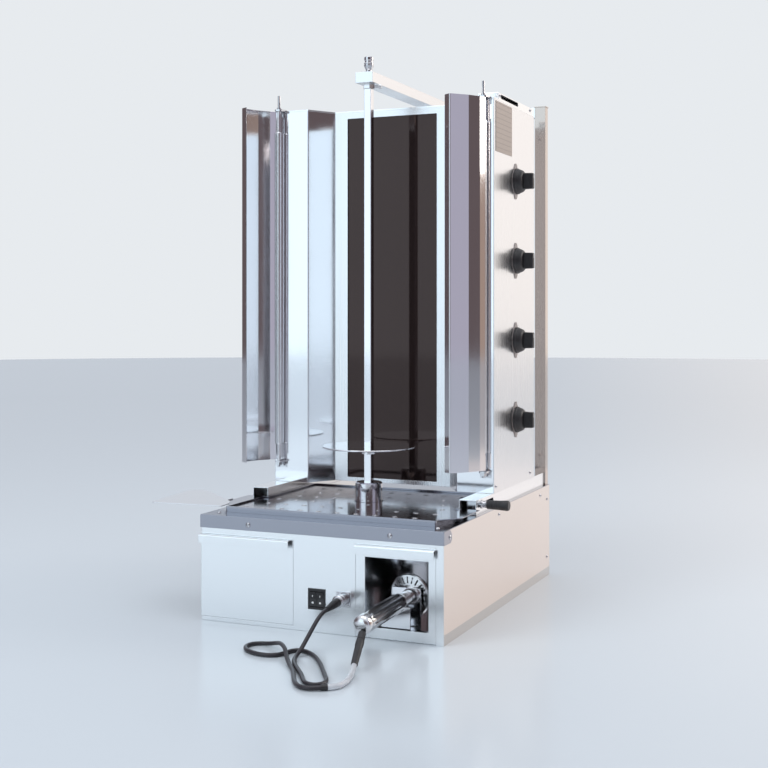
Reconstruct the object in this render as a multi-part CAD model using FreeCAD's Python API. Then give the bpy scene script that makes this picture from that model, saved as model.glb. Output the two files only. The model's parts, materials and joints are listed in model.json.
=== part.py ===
import FreeCAD, Part
import math
import os

# Electric vertical rotisserie broiler. Millimetres, +Z up, +Y towards the back.
# Origin: centre of the flat underside of the base cabinet.

V = FreeCAD.Vector

# ---------------------------------------------------------------- driving dimensions
base_width = 530.0
base_depth = 716.0
base_height = 216.0
sheet = 1.5                  # casing sheet
thin = 1.2                   # drawer, tray and wing sheet
bottom_sheet = 2.0
side_screws = ((332, 200), (639, 199), (695, 183), (695, 46))    # behind the front, above z 0
gap = 0.3                    # between faces of different bodies
bend = 1.5                   # inner radius of a folded sheet

band_height = 26.5           # folded front edge of the deck
band_return = 40.0

drawer_right = -53.3         # control panel starts here
panel_right = 82.0           # and ends here
front_strip = 16.0           # fixed strip beside the knife bay
drawer_front_height = 177.0
toe_height = 9.0             # fixed strip under the drawer, above a cord on the counter
drawer_box_height = 140.0
drawer_box_depth = 600.0
lip_reach = 11.0
lip_drop = 18.0
bay_front_height = 180.0
bay_depth = 205.0
window = (102.0, 234.0, 22.0, 157.0)       # x0, x1, z0, z1

spit_y = -110.0
tray_side_gap = 32.0         # from the cabinet side to the tray
tray_setback = 43.0
tray_back = 72.0
tray_height = 12.0
tray_flange = 34.0
tray_flange_thick = 1.6
shelf_outline = [(-236, -326), (-399, -339), (-419, -154), (-386, -140), (-254, -261),
                 (-240, -290)]
clip_y0, clip_y1 = -256.0, -226.0          # clip that holds the shelf to the tray's flange
hole_radius = 4.0
hole_pitch_x = 42.0
hole_pitch_y = 59.0

rail_height = 30.0
rail_width = 37.0
rail_front = -154.0
rail_inset = 7.0

post_width = 25.5
post_depth = 21.0
post_rise = 37.0             # above the tower
beam_height = 24.0
arm_width = 40.0
arm_height = 22.5
arm_overhang = 26.0          # arm end in front of the spit axis

tower_inset = 4.0            # from the cabinet side to the tower side
tower_front = -48.0
tower_depth = 290.0
tower_top_z = 1080.0
corner_width = 84.0          # flat corner panel, before the splayed panel starts
frame_half = 139.0
frame_setback = 62.0
glass_half = 108.0
frame_top_rail = 14.0
frame_bottom_rail = 7.0
frame_thick = 3.0
glass_thick = 4.0
duct_width = 46.0
duct_height = 15.0
zones = 4
elements_per_zone = 5
element_radius = 5.0

wing_hinge_inset = 18.5
wing_hinge_reach = 15.0
wing_rise = 50.7             # wing bottom above the tower bottom
wing_facets = (18.0, 30.0, 44.0)
wing_facet_turn = 11.0       # degrees between facets
wing_lip = 17.0
wing_tube_radius = 6.5
wing_sleeve_radius = 4.5
wing_pin_radius = 3.0
wing_pin_rise = 35.0         # above the tower
right_wing_angle = -121.0    # direction of the free edge, degrees from +X
left_wing_angle = -124.0

gland_x, gland_z = -205.0, 45.0
gland_hole_radius = 8.0
gland_bore = 4.5

collar_bore = 14.0
collar_wall = 1.5
collar_height = 13.5

stud_ys = (28.0, 178.0)      # runner studs under the tower
clamp_y = -118.0
slide_forward = 20.0
slide_back = 70.0

stud_radius = 4.0
clamp_rise = 18.0            # above the deck
runner_width = 20.0

ledge_z = 10.0
runner_x = -68.0

neck_radius = 13.0
neck_rest_y = -307.0         # closed rest round the knife's neck
handle_flutes = 10

rocker_radius = 14.4
rocker_width = 14.0
rocker_offset = 8.1          # from the middle of the switch to each rocker
switch_body = (16.7, 18.2)   # half width and half height behind the bezel
switch_bezel = (18.5, 20.5)
switch_depth = 30.0

strain_start = (154, -484, 45)

running = 0.05               # radial clearance of a turning fit

knob_y = 102.0
knob_first_rise = 144.7      # first knob above the tower bottom
knob_top_drop = 162.2        # last knob below the tower top
knob_radius = 28.5
knob_skirt = 19.0
knob_grip = 21.0
spindle_radius = 3.0
plate_height = 96.0
plate_width = 50.0

bar_side = 16.0
boss_radius = 29.0
boss_rise = 50.0             # above the deck
shaft_radius = 10.0
meat_plate_radius = 100.0
meat_plate_rise = 123.5      # above the deck
meat_plate_thick = 3.0
top_pin_radius = 5.0

knife_start = V(170, -283, 75)             # centre of the blade
knife_end = V(150, -488, 56)               # end of the handle
handle_radius = 18.0
guard_radius = 43.5
blade_radius = 39.0
socket_x, socket_z = 56.5, 70.5
socket_half = 15.0
switch_x, switch_z = -1.5, 65.5

cord_radius = 4.0
sleeve_radius = 5.2
# Route of the free cord on the counter, from the plug to the collar, then the clear sleeve.
cord_route = [
    (56.2, -433, 66), (56.1, -450.5, 64.25), (54.5, -469, 55), (51.5, -486, 40),
    (48.5, -503, 24.5), (46.5, -523, 10), (50, -553, 4.2), (66, -585, 4.2), (89, -614, 4.2),
    (111, -643, 4.2), (127, -669, 4.2), (140, -684, 4.2), (157, -687, 4.2), (168, -674, 4.2),
    (164, -653, 4.2), (148, -628, 4.2), (131, -601, 4.2), (112, -571, 4.2), (91, -542, 4.2),
    (71, -519, 4.2), (52, -505, 4.2), (36, -500, 4.2), (23, -508, 4.2), (19, -525, 4.2),
    (14, -543, 4.2), (0, -554, 4.2), (-20, -555, 4.2), (-42, -548, 4.2), (-61, -535, 4.2),
    (-72, -516, 4.2), (-70, -498, 4.2), (-57, -487, 4.2), (-38, -486, 5.2), (-18, -494, 10.5),
    (1, -512, 16.4), (23, -538, 16.4), (39, -563, 9.5), (57, -588, 4.2), (79, -616, 4.2),
    (98, -648, 4.2), (115, -680, 4.2), (133, -701, 4.2), (149, -709, 4.6), (164, -706.5, 5.2),
    (175, -699, 5.5)]
sleeve_route = [
    (184.1, -692.8, 5.5), (192.4, -687.1, 5.5), (199, -674.5, 5.5), (199.5, -655, 5.5),
    (196, -632, 5.6), (189.5, -609, 6.4), (184.1, -590.5, 9.2), (181, -579.5, 12.55)]

# ---------------------------------------------------------------- places worked out from them
side_x = base_width / 2
front_y = -base_depth / 2
back_y = base_depth / 2
deck_under = base_height - sheet
inner_front = front_y + sheet
rail_top = base_height + rail_height
rail_outer = side_x - rail_inset
rail_inner = rail_outer - rail_width
tower_z0 = rail_top + gap
tower_back_y = tower_front + tower_depth
frame_y = tower_front + frame_setback
post_front = back_y - post_depth
post_top = tower_top_z + post_rise
arm_z0 = post_top
arm_z1 = arm_z0 + arm_height
arm_front = spit_y - arm_overhang
bush_drop = 10.0
bar_top = arm_z0 - bush_drop - gap
tray_half = side_x - tray_side_gap
tray_front = front_y + tray_setback
tower_half = side_x - tower_inset
corner_x = tower_half - corner_width
wing_hinge_x = tower_half - wing_hinge_inset
wing_hinge_y = tower_front - wing_hinge_reach
wing_bottom = tower_z0 + wing_rise
wing_top = tower_top_z
wing_pin_top = tower_top_z + wing_pin_rise
clamp_z = base_height + clamp_rise
knob_first_z = tower_z0 + knob_first_rise
boss_top = base_height + boss_rise
meat_plate_z = base_height + meat_plate_rise
bay_front_left = panel_right + 0.4
bay_front_right = side_x - front_strip - gap
knob_pitch = (tower_top_z - knob_top_drop - knob_first_z) / (zones - 1)
knob_heights = [knob_first_z + i * knob_pitch for i in range(zones)]


# ---------------------------------------------------------------- shape helpers
def box(x0, x1, y0, y1, z0, z1):
    return Part.makeBox(x1 - x0, y1 - y0, z1 - z0, V(x0, y0, z0))


def rod(start, direction, radius, length):
    return Part.makeCylinder(radius, length, V(*start), V(*direction))


def fuse(*shapes):
    return shapes[0].fuse(list(shapes[1:])).removeSplitter()


def mirror_x(shape):
    return shape.mirror(V(0, 0, 0), V(1, 0, 0))


def rounded_wire(points, radii):
    """Closed outline through 3-D points, each corner an arc of the radius given for it."""
    edges = []
    ends = []
    count = len(points)
    for i, corner in enumerate(points):
        to_last = (points[i - 1] - corner).normalize()
        to_next = (points[(i + 1) % count] - corner).normalize()
        if radii[i] <= 0:
            ends.append((corner, corner, None))
            continue
        half = math.acos(max(-1.0, min(1.0, to_last.dot(to_next)))) / 2
        back = radii[i] / math.tan(half)
        start, end = corner + to_last * back, corner + to_next * back
        inward = (to_last + to_next).normalize()
        middle = corner + inward * (radii[i] / math.sin(half) - radii[i])
        ends.append((start, end, middle))
    for i, (start, end, middle) in enumerate(ends):
        if middle is not None:
            edges.append(Part.Arc(start, middle, end).toShape())
        following = ends[(i + 1) % count][0]
        if (following - end).Length > 1e-6:
            edges.append(Part.LineSegment(end, following).toShape())
    return Part.Wire(edges)


def plan(points, z0, z1, radius=0.0):
    """Flat outline in XY, rounded at its corners, raised from z0 to z1."""
    corners = [V(x, y, z0) for x, y in points]
    radii = radius if isinstance(radius, (list, tuple)) else [radius] * len(points)
    return Part.Face(rounded_wire(corners, radii)).extrude(V(0, 0, z1 - z0))


def folded(path, thickness, inner=bend):
    """Corners and radii of a folded sheet: the path is one face, the sheet lies to its left."""
    far, near, far_radii, near_radii = [], [], [], []
    for i, (x, y) in enumerate(path):
        before = path[i - 1] if i else None
        after = path[i + 1] if i + 1 < len(path) else None
        normals = []
        for a, b in ((before, (x, y)), ((x, y), after)):
            if a and b:
                length = math.hypot(b[0] - a[0], b[1] - a[1])
                normals.append((-(b[1] - a[1]) / length, (b[0] - a[0]) / length))
        nx = sum(n[0] for n in normals) / len(normals)
        ny = sum(n[1] for n in normals) / len(normals)
        scale = thickness / (nx * nx + ny * ny)
        near.append((x, y))
        far.append((x + nx * scale, y + ny * scale))
        if len(normals) == 2:
            left = normals[0][0] * normals[1][1] - normals[0][1] * normals[1][0] > 0
            far_radii.append(inner if left else inner + thickness)
            near_radii.append(inner + thickness if left else inner)
        else:
            far_radii.append(0.0)
            near_radii.append(0.0)
    return near + far[::-1], near_radii + far_radii[::-1]


def folded_up(path, thickness, z0, z1, inner=bend):
    """Sheet folded along vertical lines, from a plan path."""
    points, radii = folded(path, thickness, inner)
    return plan(points, z0, z1, radii)


def folded_across(path, thickness, x0, x1, inner=bend):
    """Sheet folded along lines parallel to X, from a path in YZ."""
    points, radii = folded(path, thickness, inner)
    corners = [V(x0, y, z) for y, z in points]
    return Part.Face(rounded_wire(corners, radii)).extrude(V(x1 - x0, 0, 0))


def turned(profile, base, axis):
    """Solid of revolution from (distance along the axis, radius) pairs."""
    direction = V(*axis).normalize()
    corners = [V(0, 0, profile[0][0])]
    corners += [V(r, 0, z) for z, r in profile]
    corners += [V(0, 0, profile[-1][0]), V(0, 0, profile[0][0])]
    kept = [corners[0]]
    for corner in corners[1:]:
        if (corner - kept[-1]).Length > 1e-6:
            kept.append(corner)
    solid = Part.Face(Part.makePolygon(kept)).revolve(V(0, 0, 0), V(0, 0, 1), 360)
    solid.Placement = FreeCAD.Placement(V(*base), FreeCAD.Rotation(V(0, 0, 1), direction))
    return solid


def slot_x(x0, x1, y0, y1, z0, z1):
    """Cutter along X for a long hole that is round at its ends in Y."""
    radius = (z1 - z0) / 2
    middle = (z0 + z1) / 2
    return fuse(box(x0, x1, y0 + radius, y1 - radius, z0, z1),
                rod((x0, y0 + radius, middle), (1, 0, 0), radius, x1 - x0),
                rod((x0, y1 - radius, middle), (1, 0, 0), radius, x1 - x0))


def vent_slots(centre_x, length, height, bottoms, y):
    """Cutters for level slots in a back wall, in a left and a right column."""
    return [box(side * centre_x - length / 2, side * centre_x + length / 2, y - 5, y + 5, z,
                z + height) for side in (-1, 1) for z in bottoms]


def dome_screw(point, outward, radius=4.0, height=2.4):
    """Screw head standing on a face at a point."""
    return turned([(0, radius), (height * 0.45, radius * 0.9), (height * 0.8, radius * 0.6),
                   (height, radius * 0.22)], point, outward)


def write(name, shapes):
    shapes = shapes if isinstance(shapes, list) else [shapes]
    for shape in shapes:
        if not shape.isValid():
            raise ValueError(name + " is not valid")
    whole = shapes[0] if len(shapes) == 1 else Part.makeCompound(shapes)
    whole.exportStep(os.path.join("parts", name + ".step"))


# ---------------------------------------------------------------- base cabinet
def base_shell():
    inside = side_x - sheet
    write("base_bottom", box(-inside, inside, inner_front, back_y - sheet, 0, bottom_sheet))
    plain = box(side_x - sheet, side_x, inner_front, back_y, 0, deck_under)
    write("base_side_left", mirror_x(plain))
    strip = box(side_x - front_strip, side_x, front_y, inner_front, 0, deck_under)
    write("base_side_right", fuse(plain, strip))

    back = box(-inside, inside, back_y - sheet, back_y, bottom_sheet, deck_under)
    vents = vent_slots(130, 110, 5, [70 + row * 18 for row in range(6)], back_y)
    gland_hole = rod((gland_x, back_y - 5, gland_z), (0, 1, 0), gland_hole_radius, 10)
    write("base_back", back.cut(vents + [gland_hole]))


def mains_gland():
    body = turned([(0, 12), (6, 12), (6, 10), (16, 8)], (gland_x, back_y, gland_z), (0, 1, 0))
    neck = rod((gland_x, back_y - 12, gland_z), (0, 1, 0), gland_hole_radius, 12)
    nut = turned([(0, 12), (5, 12)], (gland_x, back_y - sheet - 5, gland_z), (0, 1, 0))
    bore = rod((gland_x, back_y - 20, gland_z), (0, 1, 0), gland_bore, 50)
    write("mains_gland", fuse(body, neck, nut).cut(bore))


def front_panel():
    left, right = -side_x + sheet, side_x - front_strip
    panel = box(left, right, front_y, inner_front, gap, deck_under)
    drawer_gap = box(left - 1, drawer_right, front_y - 1, inner_front + 1, toe_height,
                     drawer_front_height + gap)
    bay_gap = box(panel_right, right + 1, front_y - 1, inner_front + 1, -1, bay_front_height + gap)
    half_w, half_h = switch_body[0] + 0.3, switch_body[1] + 0.3
    switch_gap = box(switch_x - half_w, switch_x + half_w, front_y - 1, inner_front + 1,
                     switch_z - half_h, switch_z + half_h)
    socket_gap = rod((socket_x, front_y - 1, socket_z), (0, 1, 0), 12, sheet + 2)
    write("front_panel", panel.cut([drawer_gap, bay_gap, switch_gap, socket_gap]))


def top_deck():
    deck = folded_across([(back_y, deck_under), (front_y, deck_under),
                          (front_y, base_height - band_height)], -sheet, -side_x, side_x, 0.6)
    tab_top = deck_under + sheet * 0.7
    tab_bottom = base_height - band_height
    tab_back = front_y + band_return
    tab_front = front_y - sheet
    points = [(tab_front, tab_bottom), (tab_front, tab_top - 2.2), (tab_front + 1, tab_top),
              (tab_back - 10, tab_top), (tab_back, tab_top - 9), (tab_back, tab_bottom + 6),
              (tab_back - 6, tab_bottom)]
    outline = Part.makePolygon([V(side_x, y, z) for y, z in points + points[:1]])
    side = Part.Face(outline).extrude(V(sheet, 0, 0))
    shaft_hole = rod((0, spit_y, 0), (0, 0, 1), collar_bore, base_height + 9)
    write("top_deck", fuse(deck, side, mirror_x(side)).cut(shaft_hole))


def tray_outline(inset):
    """Tray plan: wide in front of the rails, narrow between them."""
    wide = tray_half - inset
    narrow = rail_inner - 2.0 - inset
    step = rail_front - 4.0 - inset
    front, back = tray_front + inset, tray_back - inset
    right = [(wide, front), (wide, step), (narrow, step), (narrow, back)]
    return right + [(-x, y) for x, y in right[::-1]]


def drip_tray():
    z0, z1 = base_height, base_height + tray_height
    pan = plan(tray_outline(0), z0, z1, 3.0).cut(plan(tray_outline(thin), z0 + thin, z1 + 1, 1.8))
    lip = plan(tray_outline(0), z1 - 2.5, z1, 3.0).cut(plan(tray_outline(4.0), z1 - 3, z1 + 1))
    step = rail_front - 4.0
    outer = tray_half + tray_flange
    flange = plan([(tray_half - 1, tray_front + 14), (outer, tray_front + 54), (outer, step),
                   (tray_half - 1, step)], z1 - tray_flange_thick, z1)
    tray = fuse(pan, lip, flange, mirror_x(flange),
                rod((0, spit_y, z0), (0, 0, 1), collar_bore + collar_wall, collar_height))
    write("drip_tray", tray.cut(rod((0, spit_y, z0 - 1), (0, 0, 1), collar_bore, 30)))

    top = z1 - 3.4
    clear = thin + 0.4
    cover = plan(tray_outline(clear), z0 + thin, top, 2.0)
    cover = cover.cut(plan(tray_outline(clear + thin), z0, top - thin, 1.0))
    cutters = [rod((0, spit_y, z0), (0, 0, 1), boss_radius + 2.5, 30)]
    row = 0
    y = tray_front + 32
    while y < tray_back - 20:
        limit = tray_half if y < rail_front - 20 else rail_inner - 2
        x = -limit + 30 + (row % 2) * hole_pitch_x / 2
        while x < limit - 18:
            if math.hypot(x, y - spit_y) > boss_radius + 14:
                cutters.append(rod((x, y, z0 + thin + 1), (0, 0, 1), hole_radius, 20))
            x += hole_pitch_x
        row += 1
        y += hole_pitch_y
    write("perforated_plate", cover.cut(cutters))


def deck_rails():
    tube = box(rail_inner, rail_outer, rail_front, post_front, base_height, rail_top)
    hollow = box(rail_inner + sheet, rail_outer - sheet, rail_front - 1, post_front - sheet,
                 base_height + sheet, rail_top - sheet)
    cutters = [hollow]
    middle = (rail_inner + rail_outer) / 2
    for y in stud_ys:
        cutters.append(box(middle - stud_radius - 1, middle + stud_radius + 1,
                           y - slide_forward - stud_radius - 2, y + slide_back + stud_radius + 2,
                           rail_top - 5, rail_top + 1))
    left = mirror_x(tube.cut(cutters))
    grip_slot = slot_x(rail_outer - 5, rail_outer + 1, clamp_y - slide_forward - 5.5,
                       clamp_y + slide_back + 5.5, clamp_z - 4.2, clamp_z + 4.2)
    write("deck_rails", [left, tube.cut(cutters + [grip_slot])])


def runner_bars():
    middle = (rail_inner + rail_outer) / 2
    bar = box(middle - runner_width / 2, middle + runner_width / 2, clamp_y - 12, 210,
              base_height + sheet + gap, rail_top - sheet - 3)
    studs = [rod((middle, y, rail_top - sheet - 3), (0, 0, 1), stud_radius,
                 tower_z0 - rail_top + sheet + 3) for y in stud_ys]
    right = fuse(bar, *studs)
    left = mirror_x(fuse(box(middle - runner_width / 2, middle + runner_width / 2,
                             tower_front, 210, base_height + sheet + gap, rail_top - sheet - 3),
                         *studs))
    bore = rod((middle - 20, clamp_y, clamp_z), (1, 0, 0), 3.0 + running, 40)
    write("runner_bars", [left, right.cut(bore)])


def clamp_grip():
    middle = (rail_inner + rail_outer) / 2
    stud = rod((middle - 6, clamp_y, clamp_z), (1, 0, 0), 3.0, 40)
    ferrule = turned([(0, 9), (2, 9), (2, 6.5), (11, 6.5)], (rail_outer + 0.4, clamp_y, clamp_z),
                     (1, 0, 0))
    grip = turned([(0, 8.2), (2, 9), (20, 9.4), (42, 10.6), (46, 10.2), (47.5, 8.5)],
                  (rail_outer + 11.4, clamp_y, clamp_z), (1, 0, 0))
    write("clamp_grip", [fuse(stud, ferrule), grip.cut(stud)])


def rear_frame():
    outer_x = tower_half
    inner_x = tower_half - post_width
    tube = box(inner_x, outer_x, post_front, back_y, base_height, post_top)
    tube = tube.cut(box(inner_x + sheet, outer_x - sheet, post_front + sheet, back_y - sheet,
                        base_height - 1, post_top - sheet))
    cap = box(inner_x - sheet, outer_x + sheet, post_front - sheet, back_y + sheet, post_top,
              post_top + 2.5)
    right = fuse(tube, cap)
    write("rear_posts", [mirror_x(right), right])

    beam = box(-inner_x, inner_x, post_front, back_y, post_top - beam_height, post_top)
    hollow = box(-inner_x - 1, inner_x + 1, post_front + sheet, back_y - sheet,
                 post_top - beam_height + sheet, post_top - sheet)
    write("cross_beam", beam.cut(hollow))

    half = arm_width / 2
    arm = box(-half, half, arm_front, back_y, arm_z0, arm_z1)
    hollow = box(-half + 2, half - 2, arm_front + 2, back_y - 2, arm_z0 + 2, arm_z1 - 2)
    bush = rod((0, spit_y, arm_z0 - bush_drop), (0, 0, 1), 9.0, arm_height + bush_drop + 4)
    nut = plan([(13 * math.cos(math.radians(a)), spit_y + 13 * math.sin(math.radians(a)))
                for a in range(0, 360, 60)], arm_z0 - bush_drop, arm_z0)
    shank = rod((8, spit_y + 2, arm_z0 - 5), (1, 0.25, 0), 2.5, 16)
    head = rod((22, spit_y + 5.5, arm_z0 - 5), (1, 0.25, 0), 4.6, 5)
    solid = fuse(arm.cut(hollow), bush, nut, shank, head)
    write("spit_arm", solid.cut(rod((0, spit_y, arm_z0 - 40), (0, 0, 1),
                                    top_pin_radius + running, 100)))


def top_pin():
    stem = rod((0, spit_y, bar_top - 16), (0, 0, 1), top_pin_radius, arm_z1 + 6 - bar_top + 16)
    knob = turned([(0, 6.2), (3, 6.2), (5, 7.6), (12, 10.6), (18, 10.6), (20, 9.2), (23, 9.2),
                   (25, 10.2), (31, 10.2), (32, 9.2)], (0, spit_y, arm_z1 + 4 + gap), (0, 0, 1))
    write("top_pin", fuse(stem, knob))


# ---------------------------------------------------------------- drive under the deck
def gear_motor():
    width, depth = 92.0, 124.0
    top, bottom = deck_under - 18.5, deck_under - 102.5
    top_plate = box(-65, 65, spit_y - 75, spit_y + 75, deck_under - 3, deck_under)
    neck = rod((0, spit_y, top), (0, 0, 1), 30, deck_under - 3 - top)
    housing = box(-width / 2, width / 2, spit_y - depth / 2, spit_y + depth / 2, bottom, top)
    housing = housing.makeFillet(6, [e for e in housing.Edges if e.BoundBox.ZLength > 50])
    bore = rod((0, spit_y, bottom + 6), (0, 0, 1), shaft_radius + running, 140)
    gearbox = fuse(top_plate, neck, housing).cut(bore)
    start = spit_y + depth / 2
    motor = turned([(0, 42), (6, 42), (6, 38), (100, 38), (100, 41), (118, 41), (122, 34)],
                   (0, start, (top + bottom) / 2), (0, 1, 0))
    write("gear_motor", [gearbox, motor])


def transformer():
    core = box(112, 192, 20, 110, bottom_sheet, bottom_sheet + 70)
    core = core.cut([box(126, 146, 19, 111, 18, 58), box(158, 178, 19, 111, 18, 58)])
    coil = box(127, 177, 4, 126, 19, 57).cut(box(145.9, 158.1, 3, 127, 17.9, 58.1))
    middle = box(146, 158, 20, 110, 18, 58)
    feet = box(104, 200, 24, 106, bottom_sheet, bottom_sheet + 3)
    write("transformer", [fuse(core, feet, middle), coil])


def spit():
    hollow_top = base_height + 18
    boss = turned([(0, boss_radius - 1), (1.5, boss_radius), (44, boss_radius),
                   (47, boss_radius - 2.5)], (0, spit_y, boss_top - 47), (0, 0, 1))
    boss = boss.cut(rod((0, spit_y, boss_top - 50), (0, 0, 1), 19, hollow_top - boss_top + 50))
    seat_z = base_height + 25
    shaft = rod((0, spit_y, deck_under - 94.5), (0, 0, 1), shaft_radius, 116)
    half = bar_side / 2
    seat = box(-half - 0.1, half + 0.1, spit_y - half - 0.1, spit_y + half + 0.1, seat_z,
               boss_top + 1)
    screw_z = seat_z + 10
    screw_hole = rod((0, spit_y - half, screw_z), (0, -1, 0), 4.0, boss_radius)
    screw = rod((0, spit_y - half - 0.2, screw_z), (0, -1, 0), 3.9, boss_radius - half + 1.2)
    screw = screw.cut(plan([(2.2 * math.cos(math.radians(a)), 2.2 * math.sin(math.radians(a)))
                            for a in range(0, 360, 60)], -1, 4)
                      .rotate(V(0, 0, 0), V(1, 0, 0), 90)
                      .translate(V(0, spit_y - boss_radius + 1, screw_z)))
    write("drive_socket", [fuse(boss, shaft).cut([seat, screw_hole]), screw])

    bar = box(-half, half, spit_y - half, spit_y + half, seat_z, bar_top)
    bar = bar.makeChamfer(0.8, [e for e in bar.Edges if e.BoundBox.ZLength > 50])
    pin_bore = rod((0, spit_y, bar_top - 17), (0, 0, 1), top_pin_radius + running, 30)
    write("spit_bar", bar.cut(pin_bore))

    disc = turned([(0, meat_plate_radius - 0.8), (0.8, meat_plate_radius),
                   (meat_plate_thick - 0.8, meat_plate_radius),
                   (meat_plate_thick, meat_plate_radius - 0.8)], (0, spit_y, meat_plate_z), (0, 0, 1))
    hub = rod((0, spit_y, meat_plate_z - 14), (0, 0, 1), 15, 14)
    thumb = rod((12, spit_y, meat_plate_z - 7), (1, 0, 0), 4, 12)
    hole = box(-half - 0.1, half + 0.1, spit_y - half - 0.1, spit_y + half + 0.1,
               meat_plate_z - 20, meat_plate_z + 9)
    write("meat_plate", fuse(disc, hub, thumb).cut(hole))


# ---------------------------------------------------------------- drawer
def drawer():
    left, right = -side_x, drawer_right - gap
    back = inner_front - gap
    plate = box(left, right, front_y, front_y + thin, toe_height + gap, drawer_front_height)
    lip = folded_across([(back, drawer_front_height - thin),
                         (front_y - lip_reach + thin, drawer_front_height - thin),
                         (front_y - lip_reach + thin, drawer_front_height - lip_drop)],
                        -thin, left - 1, right - 6.5, 3.0)
    write("drawer_front", fuse(plate, lip))
    x0, x1 = -side_x + sheet + 1.5, runner_x - 0.6
    y0, y1 = front_y + thin, front_y + thin + drawer_box_depth
    z0 = ledge_z + sheet + gap
    body = box(x0, x1, y0, y1, z0, z0 + drawer_box_height)
    body = body.cut(box(x0 + thin, x1 - thin, y0 + thin, y1 - thin, z0 + thin, z0 + 500))
    write("drawer_box", body)

    inside = -side_x + sheet
    run_y0, run_y1 = inner_front + 6, inner_front + drawer_box_depth + 30
    left_runner = fuse(box(inside, inside + 1.2, run_y0, run_y1, ledge_z, ledge_z + 34),
                       box(inside, inside + 18, run_y0, run_y1, ledge_z, ledge_z + sheet))
    right_runner = fuse(box(runner_x, runner_x + sheet, run_y0, run_y1, ledge_z, deck_under),
                        box(runner_x - 18, runner_x + sheet, run_y0, run_y1, ledge_z,
                            ledge_z + sheet))
    write("drawer_runners", [left_runner, right_runner])


# ---------------------------------------------------------------- knife bay and knife
def knife_line(share):
    return knife_start + (knife_end - knife_start) * share


def knife_bay():
    x0, x1 = bay_front_left + 3, bay_front_right - 3
    z0, z1 = 9.0, 172.0
    y0, y1 = inner_front, inner_front + bay_depth
    liner = box(x0, x1, y0, y1, z0, z1)
    liner = liner.cut(box(x0 + 1, x1 - 1, y0 - 1, y1 - 1, z0 + 1, z1 - 1))
    rests = []
    for y, closed in ((y0 + 6, False), (neck_rest_y, True)):
        share = (y - knife_start.y) / (knife_end.y - knife_start.y)
        centre = knife_line(share)
        radius = handle_radius + 0.15 if not closed else neck_radius + 0.15
        top = centre.z - 4 if not closed else centre.z + radius + 6
        web = box(centre.x - 30, centre.x + 30, y, y + 2.5, z0 + 1, top)
        foot = box(centre.x - 62, centre.x + 62, y, y + 14, z0 + 1, z0 + 3)
        direction = (knife_end - knife_start).normalize()
        web = web.cut(Part.makeCylinder(radius, 60, centre - direction * 30, direction))
        rests += [web, foot]
    write("knife_bay_liner", fuse(liner, *rests))

    plate = box(bay_front_left, bay_front_right, front_y, inner_front, 2, bay_front_height)
    hole = box(window[0], window[1], front_y - 1, inner_front + 1, window[2], window[3])
    lip = folded_across([(inner_front, bay_front_height - thin),
                         (front_y - lip_reach + thin, bay_front_height - thin),
                         (front_y - lip_reach + thin, bay_front_height - lip_drop)],
                        -thin, bay_front_left, bay_front_right, 3.0)
    write("knife_bay_front", fuse(plate.cut(hole), lip))


def knife():
    direction = (knife_end - knife_start)
    length = direction.Length
    place = FreeCAD.Placement(knife_start, FreeCAD.Rotation(V(0, 0, 1), direction))

    def placed(shape):
        shape.Placement = place.multiply(shape.Placement)
        return shape

    origin, up = (0, 0, 0), (0, 0, 1)
    hub = turned([(-3.5, 7), (-1.2, 9), (0, 9)], origin, up)
    blade = turned([(0, blade_radius), (0.6, blade_radius), (1.4, blade_radius - 4)], origin, up)
    axle = rod((0, 0, 1), up, 4.0, 22)
    write("knife_blade", placed(fuse(hub, blade, axle)))

    guard = turned([(4, guard_radius), (8, guard_radius), (9.5, guard_radius - 2.5),
                    (12, guard_radius - 22), (15, 17), (17, 15)], origin, up)
    guard = guard.cut(turned([(3, guard_radius - 1.4), (7.5, guard_radius - 1.4),
                              (8.2, guard_radius - 3.4), (10.4, guard_radius - 22),
                              (11, 6)], origin, up))
    slots = []
    for i in range(20):
        cutter = box(guard_radius - 18, guard_radius - 5.5, -1.5, 1.5, 5, 14)
        slots.append(cutter.rotate(V(0, 0, 0), V(0, 0, 1), i * 360 / 20))
    bore = rod((0, 0, 2), up, 4.0 + running, 30)
    write("blade_guard", placed(guard.cut(slots + [bore])))

    handle = turned([(17, neck_radius), (46, neck_radius), (52, handle_radius - 1.5),
                     (58, handle_radius), (length - 22, handle_radius),
                     (length - 22, handle_radius + 0.6), (length - 3, handle_radius + 0.6),
                     (length, handle_radius - 2.5)], origin, up)
    flutes = []
    for i in range(handle_flutes):
        angle = 2 * math.pi * i / handle_flutes
        reach = handle_radius + 2.2
        flutes.append(rod((reach * math.cos(angle), reach * math.sin(angle), 62), up, 4.0,
                          length - 22 - 62 - 5))
    handle = handle.cut(flutes + [bore])
    handle = placed(handle)
    write("knife_handle", handle)
    return handle


def knife_socket():
    flange = box(socket_x - socket_half, socket_x + socket_half, front_y - 2, front_y,
                 socket_z - socket_half, socket_z + socket_half)
    barrel = rod((socket_x, front_y - 10, socket_z), (0, 1, 0), 10.5, 40)
    core = rod((socket_x, front_y - 11, socket_z), (0, 1, 0), 8.2, 10)
    heads = [dome_screw((socket_x + 11.3 * i, front_y - 2, socket_z + 11.3 * j), (0, -1, 0), 2, 1)
             for i in (-1, 1) for j in (-1, 1)]
    write("knife_socket", fuse(flange, barrel, *heads).cut(core))


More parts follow.
